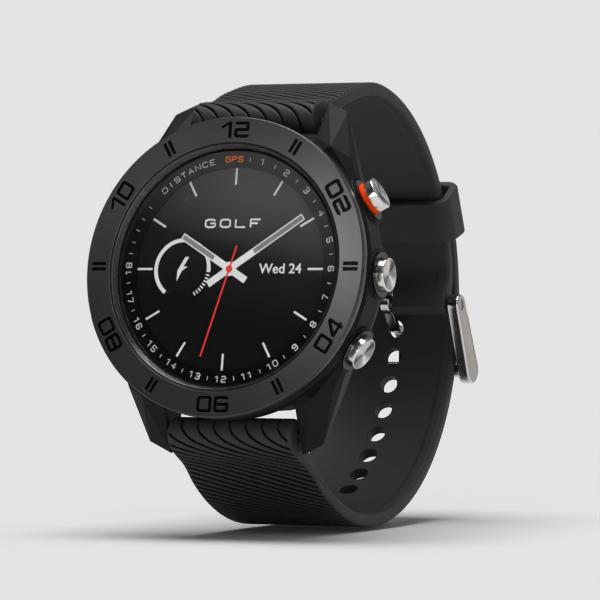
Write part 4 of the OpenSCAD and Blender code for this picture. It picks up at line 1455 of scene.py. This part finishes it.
@dataclass
class UpperStrap(Strap):
    """The strap at 12 o'clock, which ends in a roll round the buckle's pin."""

    arc_y: float = 17.2
    mid_r: float = 31.25
    roll_angle: float = 132.92
    roll_reach: float = 31.13
    dip: float = 0.8  # how far the strap bends in before its roll
    dip_from: float = 92.0
    pin_angle: float = 8.76
    pin_reach: float = 29.54
    pin_roll: float = 1.65
    pin_blend: float = 20.0
    slack: float = 0.04

    def centre(self, angle: float) -> float:
        """Gives the y of the arc's centre, which is one point."""
        return self.arc_y

    def shares(self, angle: float) -> tuple[float, float]:
        """Gives how far the strap has turned into the pin's roll, and into the lug's."""
        at_pin = smooth((self.pin_blend - angle) / (self.pin_blend - self.pin_angle))
        return at_pin, smooth((angle - self.lug_blend) / (self.roll_angle - self.lug_blend)) ** 2

    def middle(self, angle: float) -> float:
        """Gives the radius of the strap's middle at an angle."""
        pin, lug = self.shares(angle)
        dip = self.dip * smooth((angle - self.dip_from) / 20) * (1 - lug)
        return self.mid_r + (self.pin_reach - self.mid_r) * pin + (self.roll_reach - self.mid_r) * lug - dip

    def depth(self, angle: float) -> float:
        """Gives the strap's thickness at an angle.

        Args:
            angle: The angle on the arc, in degrees.

        Returns:
            The thickness in millimetres.
        """
        pin, lug = self.shares(angle)
        return (
            self.thick
            + (2 * self.pin_roll - self.slack - self.thick) * pin
            + (2 * self.roll - self.slack - self.thick) * lug
        )

    def stations(self) -> list[Station]:
        """Gives the outline in order: outer side, lug roll, inner side, pin roll.

        Returns:
            The closed outline, as stations.
        """
        outer = self.outer_side(self.pin_angle, self.roll_angle)
        lug = self.lug_roll()
        inner = self.inner_side(self.roll_angle, self.pin_angle)
        a = math.radians(self.pin_angle)
        y, z = self.arc_y + self.pin_reach * math.cos(a), self.pin_reach * math.sin(a)
        return outer + lug + inner + self.rounded_end(y, z, self.pin_roll, self.pin_angle + 180, 16)

    def build(self) -> None:
        """Builds the strap with its bores, the lever's slot and the notch for the tongue."""
        a = math.radians(self.pin_angle)
        y, z = self.arc_y + self.pin_reach * math.cos(a), self.pin_reach * math.sin(a)
        bore, slot = self.bar_cutters()
        pin = rod(0.8, -12, 12, y, z)
        bores = join([(bore, Matrix.Identity(4)), (pin, Matrix.Identity(4))])
        notch = block((-1.3, y - 4, z - 4), (1.3, y + 4, z + 2.2))
        cuts = join([(slot, Matrix.Identity(4)), (notch, Matrix.Identity(4))])
        shape = carve(self.body(), bores, cuts)
        Part("watch", "strap_silicone", ("upper_strap",)).publish("strap_at_12", shape, SILICONE)


@dataclass
class LowerStrap(Strap):
    """The strap at 6 o'clock, with its adjustment holes and the tail that passes the keeper."""

    arc_y: float = 17.2
    tail_r: float = 34.4
    low_y: float = 19.0
    mid_r: float = 31.65
    roll_angle: float = 135.25
    roll_reach: float = 32.386
    tail_angle: float = 35.0
    tail_corner: float = 6.0
    tongue_angle: float = 2.5
    hole_pitch: float = 4.67
    holes: int = 8
    tail_holes: int = 3
    slack: float = 0.04
    upward: int = 1

    def centre(self, angle: float) -> float:
        """Gives the y of the arc's centre: one for the tail, one for the rest."""
        return self.arc_y if angle < 0 else self.low_y

    def share(self, angle: float) -> float:
        """Gives how far the strap has turned into the lug's roll."""
        return smooth((angle - self.lug_blend) / (self.roll_angle - self.lug_blend)) ** 2

    def middle(self, angle: float) -> float:
        """Gives the radius of the strap's middle at an angle, negative along the tail."""
        if angle < 0:
            return self.tail_r - self.thick / 2
        return self.mid_r + (self.roll_reach - self.mid_r) * self.share(angle)

    def depth(self, angle: float) -> float:
        """Gives the strap's thickness at an angle."""
        return self.thick + (2 * self.roll - self.slack - self.thick) * self.share(angle)

    def stations(self) -> list[Station]:
        """Gives the outline in order: outer side, lug roll, inner side, the tail's end.

        Returns:
            The closed outline, as stations.
        """
        radius = self.tail_r - self.thick / 2
        start = -self.tail_angle + math.degrees(self.thick / 2 / radius)
        outer = self.outer_side(start, self.roll_angle)
        lug = self.lug_roll()
        inner = self.inner_side(self.roll_angle, start)
        a = math.radians(start)
        y, z = self.arc_y + radius * math.cos(a), radius * math.sin(a)
        line = outer + lug + inner + self.rounded_end(y, z, self.thick / 2, start + 180, 12)
        tip = math.radians(-self.tail_angle)
        for station in line:
            bearing = math.atan2(station.z, station.y - self.arc_y)
            left = (bearing - tip) * radius
            if bearing < 0 and left < self.tail_corner:
                drop = self.tail_corner - max(0.0, left)
                station.half = self.half - self.tail_corner + math.sqrt(self.tail_corner**2 - drop**2)
                station.sunk = 0.0
            elif bearing < 0:
                station.sunk *= smooth((left - self.tail_corner) / 2)
        return line

    def build(self) -> None:
        """Builds the strap with its bore, the lever's slot and the adjustment holes."""
        bore, slot = self.bar_cutters()
        holes = [(bore, Matrix.Identity(4))]
        for number in range(self.holes):
            a = number * self.hole_pitch / (self.mid_r + self.thick / 2) - math.radians(self.tongue_angle)
            holes.append(self.hole(self.low_y + self.mid_r * math.cos(a), self.mid_r * math.sin(a), a))
        for number in range(1, self.tail_holes + 1):
            a = -math.radians(self.tongue_angle) - number * self.hole_pitch / self.tail_r
            radius = self.tail_r - self.thick / 2
            holes.append(self.hole(self.arc_y + radius * math.cos(a), radius * math.sin(a), a))
        shape = carve(self.body(), join(holes), slot)
        flip = Matrix.Diagonal((1, 1, -1, 1))
        bmesh.ops.transform(shape, matrix=flip, verts=shape.verts)
        bmesh.ops.reverse_faces(shape, faces=shape.faces)
        Part("watch", "strap_silicone", ("lower_strap",)).publish("strap_at_6", shape, SILICONE)


# ---- keeper and buckle ----


@dataclass
class Keeper:
    """The moulded loop that holds the tail."""

    arc_y: float = 17.2
    angle: float = 34.0
    reach: float = 34.4
    inner: tuple[float, float] = (30.15, 34.55)
    half: float = 10.15
    wall: float = 1.4
    length: float = 7.8
    corner: float = 0.85
    edge: float = 0.42

    def ring(self) -> list[tuple[Vector, Vector]]:
        """Gives the middle line of the loop across the strap, with the way out of it.

        Returns:
            Each point of the middle line with its outward direction.
        """
        low, high = self.inner
        mid_half, mid_up = self.half + self.wall / 2, (high - low) / 2 + self.wall / 2
        radius = self.corner + self.wall / 2
        line = []
        for turn, (sx, sr) in enumerate(((1, 1), (-1, 1), (-1, -1), (1, -1))):
            centre = Vector((sx * (mid_half - radius), sr * (mid_up - radius)))
            for step in range(9):
                a = math.pi / 2 * (turn + step / 8)
                way = Vector((math.cos(a), math.sin(a)))
                line.append((centre + way * radius, way))
            far = ((-1, 1), (-1, -1), (1, -1), (1, 1))[turn]
            goal = Vector((far[0] * (mid_half - radius), far[1] * (mid_up - radius))) + line[-1][1] * radius
            here, count = line[-1][0], 6
            line += [(here.lerp(goal, i / count), line[-1][1]) for i in range(1, count)]
        middle = (low + high) / 2
        return [(point + Vector((0, middle)), way) for point, way in line]

    def section(self) -> list[Point2]:
        """Gives the wall's section: distance out of the middle line, and along the strap.

        Returns:
            The corners in order, with round edges.
        """
        h, l, e = self.wall / 2, self.length / 2, self.edge
        line = []
        for turn, (sh, sl) in enumerate(((1, 1), (-1, 1), (-1, -1), (1, -1))):
            for step in range(6):
                a = math.pi / 2 * (turn + step / 5)
                line.append((sh * (h - e) + e * math.cos(a), sl * (l - e) + e * math.sin(a)))
        return line

    def build(self) -> None:
        """Builds the loop as a skin that closes both ways."""
        ring, section = self.ring(), self.section()

        def place(row: int, column: int) -> Vector:
            """Gives the place of one point of the loop.

            Args:
                row: Which row of the grid.
                column: Which column.

            Returns:
                The place in millimetres.
            """
            point, way = ring[row % len(ring)]
            out, along = section[column % len(section)]
            x, radius = point + way * out
            a = math.radians(self.angle) + along / self.reach
            return Vector((x, self.arc_y + radius * math.cos(a), radius * math.sin(a)))

        shape = skin(len(ring) + 1, len(section) + 1, place, closed=True)
        Part("keeper_loop", "strap_silicone", ("keeper",)).publish("keeper_loop", shape, SILICONE)


@dataclass
class Buckle:
    """The buckle's two arms, crossbar and tongue."""

    pin: Point2 = (46.395, 4.499)
    crossbar: Point2 = (52.75, -4.5)
    pin_end: float = 1.6
    bar_end: float = 2.0
    arm: tuple[float, float] = (10.45, 12.25)
    bar_radius: float = 1.1
    bevel: float = 0.3
    tongue_width: float = 1.6
    tongue_thick: float = 1.0
    loop: float = 1.4

    def arm_outline(self) -> list[Point2]:
        """Gives the outline of an arm, two round ends and the tangents between them.

        Returns:
            The corners in order, as places on y and z.
        """
        run = (self.crossbar[0] - self.pin[0], self.crossbar[1] - self.pin[1])
        heading = math.atan2(run[1], run[0])
        lean = math.asin((self.bar_end - self.pin_end) / math.hypot(*run))
        line = []
        for (y, z), radius, start, sweep in (
            (self.crossbar, self.bar_end, heading - math.pi / 2 - lean, math.pi + 2 * lean),
            (self.pin, self.pin_end, heading + math.pi / 2 + lean, math.pi - 2 * lean),
        ):
            for step in range(25):
                a = start + sweep * step / 24
                line.append((y + radius * math.cos(a), z + radius * math.sin(a)))
        return line

    def build_arms(self) -> None:
        """Builds the two arms and the crossbar as one casting, brushed on its outer faces."""
        upright = Matrix(((0, 0, 1, 0), (1, 0, 0, 0), (0, 1, 0, 0), (0, 0, 0, 1)))
        low, high = self.arm
        arms = [
            (slab(self.arm_outline(), a, b, self.bevel, 4), upright) for a, b in ((low, high), (-high, -low))
        ]
        bar = rod(self.bar_radius, -low - 0.4, low + 0.4, *self.crossbar)
        shape = carve(join(arms), rod(0.8, -14, 14, *self.pin))
        for face in shape.faces:
            outside = abs(face.calc_center_median().x) > low + 0.9
            if outside and abs(face.normal.x) > 0.98:
                face.material_index = 1
        part = Part("buckle", "brushed_steel", ("buckle_frame",))
        part.publish("buckle_arms", shape, POLISHED, ARM_BRUSH)
        part.publish("buckle_crossbar", bar, POLISHED)

    def tongue_line(self) -> list[Vector]:
        """Gives the tongue's middle line, smoothed through its bends.

        Returns:
            The points in order, as places on y and z.
        """
        knots = [Vector((y, z)) for y, z in (
            (47.2, 3.7), (49.4, 1.58), (51.8, 1.28), (53.7, -0.52), (54.38, -2.9), (54.28, -6.4)
        )]
        line: list[Vector] = []
        for at in range(len(knots) - 1):
            before, here = knots[max(0, at - 1)], knots[at]
            there, after = knots[at + 1], knots[min(len(knots) - 1, at + 2)]
            handles = here + (there - before) / 6, there - (after - here) / 6
            bend = interpolate_bezier(here, *handles, there, 8)
            line += bend if at == 0 else bend[1:]
        return [Vector(point[:2]) for point in line]

    def tongue_section(self, narrow: float) -> list[Point2]:
        """Gives the tongue's rounded section, as places across it and through it.

        Args:
            narrow: how far the section has closed in towards the tip, from 0 to 1.

        Returns:
            The points in order, the first one again at the end.
        """
        wide, deep, corner = self.tongue_width / 2, self.tongue_thick / 2, 0.24
        ring = []
        for quarter, (x, z) in enumerate(((1, 1), (-1, 1), (-1, -1), (1, -1))):
            for step in range(5):
                a = math.radians(90 * quarter + 22.5 * step)
                ring.append((
                    (x * (wide - corner) + corner * math.cos(a)) * (1 - 0.3 * narrow),
                    (z * (deep - corner) + corner * math.sin(a)) * (1 - 0.8 * narrow),
                ))
        return [*ring, ring[0]]

    def build_tongue(self) -> None:
        """Builds the tongue's blade with a rounded tip, and its loop round the pin."""
        line = [(point, 0.0) for point in self.tongue_line()]
        heading = (line[-1][0] - line[-2][0]).normalized()
        tip = line[-1][0]
        for step in range(1, 6):
            a = math.radians(18 * step)
            line.append((tip + heading * math.sin(a) * 0.5, 1 - math.cos(a)))
        columns = len(self.tongue_section(0.0))
        blade = bmesh.new()
        bmesh.ops.create_grid(blade, x_segments=columns - 1, y_segments=len(line) - 1, size=1.0)
        blade.verts.ensure_lookup_table()
        for number, vert in enumerate(blade.verts):
            row, column = divmod(number, columns)
            point, narrow = line[row]
            ahead = (line[min(row + 1, len(line) - 1)][0] - line[max(row - 1, 0)][0]).normalized()
            across, through = self.tongue_section(narrow)[column]
            spot = point + Vector((-ahead.y, ahead.x)) * through
            vert.co = (across, spot.x, spot.y)
        bmesh.ops.remove_doubles(blade, verts=blade.verts, dist=1e-4)
        bmesh.ops.holes_fill(blade, edges=[edge for edge in blade.edges if edge.is_boundary], sides=0)
        bmesh.ops.recalc_face_normals(blade, faces=blade.faces)
        w = self.tongue_width / 2
        loop = carve(rod(self.loop, -w, w, *self.pin, bevel=0.2), rod(0.8, -14, 14, *self.pin))
        part = Part("tongue", "brushed_steel", ("buckle_tongue",))
        part.publish("buckle_tongue_blade", blade, DARK_STEEL)
        part.publish("buckle_tongue_loop", loop, POLISHED)

    def build(self) -> None:
        """Builds the buckle."""
        self.build_arms()
        self.build_tongue()


# ---- what the CAD gives as it is ----


class KeptNodes:
    """The nodes whose shape is right: they take a finish, and each spring gets a mesh of its own."""

    @staticmethod
    def dress() -> None:
        """Gives each kept node its finish."""
        for finish, names in NODE_FINISH.items():
            for name in names:
                node = frame["nodes"][name]
                if not node.material_slots:
                    node.data.materials.append(None)
                for slot in node.material_slots:
                    slot.material = finish.material()
                LOG.info("%s takes %s", name, finish.name)

    @staticmethod
    def squeeze() -> None:
        """Works out how much of its length each spring keeps when its joint presses it fully, and gives the spring a
        mesh of its own.
        """
        for joint in frame["joints"]:
            axis = Vector(joint["axis"]).normalized()
            for spring in joint.get("deforming_nodes") or []:
                node = frame["nodes"][spring["node"]]
                reach = [axis.dot(node.matrix_world @ vert.co) for vert in node.data.vertices]
                keep = 1 - max(joint["range_m"]) / (max(reach) - min(reach))
                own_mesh(node)
                LOG.info("%s keeps %.2f of its length", node.name, keep)


# ---- the studio ----


@dataclass
class Studio:
    """The camera, the pale floor and the soft lights."""

    turn: float = 25.6067  # the dial is turned this far from the camera, in degrees
    tilt: float = 10.0929  # the watch leans back this far on its strap
    rise: float = -0.0683  # the camera looks up by this much
    distance: float = 605.5865
    face: float = 12.0  # the camera is aimed from the middle of the bezel's face
    lens: float = 258.384
    sensor: float = 36.0
    aim: tuple[float, float, float] = (77.14, -33.76, 4306.4)
    floor_drop: float = 38.6
    backdrop: str = "#e4e4e4"

    def __post_init__(self) -> None:
        """Works out the studio's axes in the watch's frame."""
        a, t = math.radians(self.turn), math.radians(self.tilt)
        self.origin = Vector((0, -self.face, 0))
        self.right = Vector((math.cos(a), math.sin(a) * math.cos(t), math.sin(a) * math.sin(t)))
        self.away = Vector((-math.sin(a), math.cos(a) * math.cos(t), math.cos(a) * math.sin(t)))
        self.up = Vector((0, -math.sin(t), math.cos(t)))

    def spot(self, right: float, away: float, up: float) -> Vector:
        """Gives a place in the studio, in metres in the watch's frame."""
        return (self.origin + self.right * right + self.away * away + self.up * up) * MM

    def build_camera(self) -> None:
        """Sets up the camera."""
        e = math.radians(self.rise)
        upward = self.up * math.cos(e) + self.away * math.sin(e)
        ahead = self.away * math.cos(e) - self.up * math.sin(e)
        sideways, lift, depth = self.aim
        look = (ahead * depth + self.right * sideways + upward * lift).normalized()
        data = bpy.data.cameras.new("camera")
        data.lens, data.sensor_width = self.lens, self.sensor
        data.clip_start, data.clip_end = 0.05, 20.0
        camera = bpy.data.objects.new("camera", data)
        bpy.context.scene.collection.objects.link(camera)
        side = look.cross(upward).normalized()
        top = side.cross(look)
        basis = Matrix((side, top, -look)).transposed().to_4x4()
        camera.matrix_world = Matrix.Translation((self.origin - ahead * self.distance) * MM) @ basis
        bpy.context.scene.camera = camera

    def build_floor(self) -> None:
        """Lays the pale floor, which fades into the backdrop."""
        shape = bmesh.new()
        bmesh.ops.create_circle(shape, cap_ends=True, segments=96, radius=3.0)
        basis = Matrix((self.right, self.away, self.up)).transposed().to_4x4()
        middle = self.spot(0, 40, -self.floor_drop)
        bmesh.ops.transform(shape, matrix=Matrix.Translation(middle) @ basis, verts=shape.verts)
        mesh = bpy.data.meshes.new("floor")
        shape.to_mesh(mesh)
        shape.free()
        floor = bpy.data.objects.new("floor", mesh)
        bpy.context.scene.collection.objects.link(floor)
        floor.is_shadow_catcher = True
        # Painted studio board: matt and pale.
        mesh.materials.append(Finish("painted_board", "#e6e6e6", 0.9, grain=2.0, depth=0.0, mottle=0.01).material())

    def build_world(self) -> None:
        """Sets the pale backdrop, and a dimmer surround for what the watch mirrors."""
        world = bpy.data.worlds.new("studio")
        bpy.context.scene.world = world
        world.use_nodes = True
        tree = world.node_tree
        tree.nodes.clear()
        place = add(tree, "TexCoord").outputs["Generated"]
        axis = (self.right * 0.55 + self.away * 0.2 + self.up * 0.8).normalized()
        lift = add(tree, "VectorMath", {"operation": "DOT_PRODUCT"}, {0: place, 1: tuple(axis)}).outputs["Value"]
        limits = {"Value": lift, 1: -0.45, 2: 1.0, 3: 0.008, 4: 0.2}
        level = add(tree, "MapRange", {"interpolation_type": "SMOOTHSTEP"}, limits)
        around = add(tree, "Background", None, {"Color": (1, 1, 1, 1), "Strength": level.outputs[0]})
        backdrop = add(tree, "Background", None, {"Color": linear(self.backdrop), "Strength": 1.0})
        seen = add(tree, "LightPath").outputs["Is Camera Ray"]
        mix = add(tree, "MixShader", None, {0: seen, 1: around.outputs[0], 2: backdrop.outputs[0]})
        add(tree, "OutputWorld", None, {"Surface": mix.outputs[0]})

    def light(
        self,
        name: str,
        place: tuple[float, float, float],
        size: Point2,
        power: float,
        goal: tuple[float, float, float] = (0, 20, 0),
        only: tuple[str, ...] = (),
    ) -> None:
        """Hangs a soft light and turns it to the watch, or to a few nodes alone.

        Args:
            name: The lamp's name.
            place: Its place in the studio: right, away and up.
            size: Its width and height.
            power: Its strength, before the distance's share.
            goal: The point that it faces, in the studio.
            only: The nodes that it lights; all of them when empty.
        """
        data = bpy.data.lights.new(name, "AREA")
        data.shape, data.size, data.size_y, data.energy = "RECTANGLE", size[0] * MM, size[1] * MM, power
        lamp = bpy.data.objects.new(name, data)
        bpy.context.scene.collection.objects.link(lamp)
        lamp.visible_camera = False
        if only:
            group = bpy.data.collections.new(name)
            for name_of_node in only:
                group.objects.link(frame["nodes"][name_of_node])
            lamp.light_linking.receiver_collection = group
        start = self.spot(*place)
        facing = (self.spot(*goal) - start).to_track_quat("-Z", "Y").to_matrix().to_4x4()
        lamp.matrix_world = Matrix.Translation(start) @ facing

    def build(self) -> None:
        """Builds the studio."""
        self.build_camera()
        self.build_floor()
        self.build_world()
        self.light("overhead_softbox", (-20, -10, 400), (300, 300), 2.4)
        self.light("right_softbox", (330, -160, 120), (160, 420), 0.16)
        self.light("front_softbox", (-120, -420, 330), (240, 240), 0.2)
        self.light("low_fill", (-80, -420, 10), (300, 120), 0.5)
        self.light("back_card", (300, 240, 40), (240, 260), 0.17, goal=(10, 0, 0))
        self.light("bezel_glow_right", (-17, -33, 17), (16, 16), 0.008, goal=(17, -7, 3), only=("bezel",))
        self.light("bezel_glow_left", (-64, -32, 37), (24, 24), 0.003, goal=(-12, 8, 15), only=("bezel",))
        self.light("ring_glow", (-10, -120, -70), (80, 80), 0.05, goal=(0, 0, 15), only=("lens_ring",))
        view = bpy.context.scene.view_settings
        view.view_transform, view.look = "Standard", "None"


def main() -> None:
    """Builds the watch's looks."""
    logging.basicConfig(level=logging.INFO, format="%(name)s: %(message)s")
    Studio().build()
    KeptNodes.dress()
    KeptNodes.squeeze()
    Dial().build()
    Lens().build()
    for button in (Button(Place.TOP, 23.6, collar=True), Button(Place.MIDDLE, 22.7), Button(Place.BOTTOM, 22.7)):
        button.build()
    UpperStrap().build()
    LowerStrap().build()
    Keeper().build()
    Buckle().build()


if __name__ == "__main__":
    main()
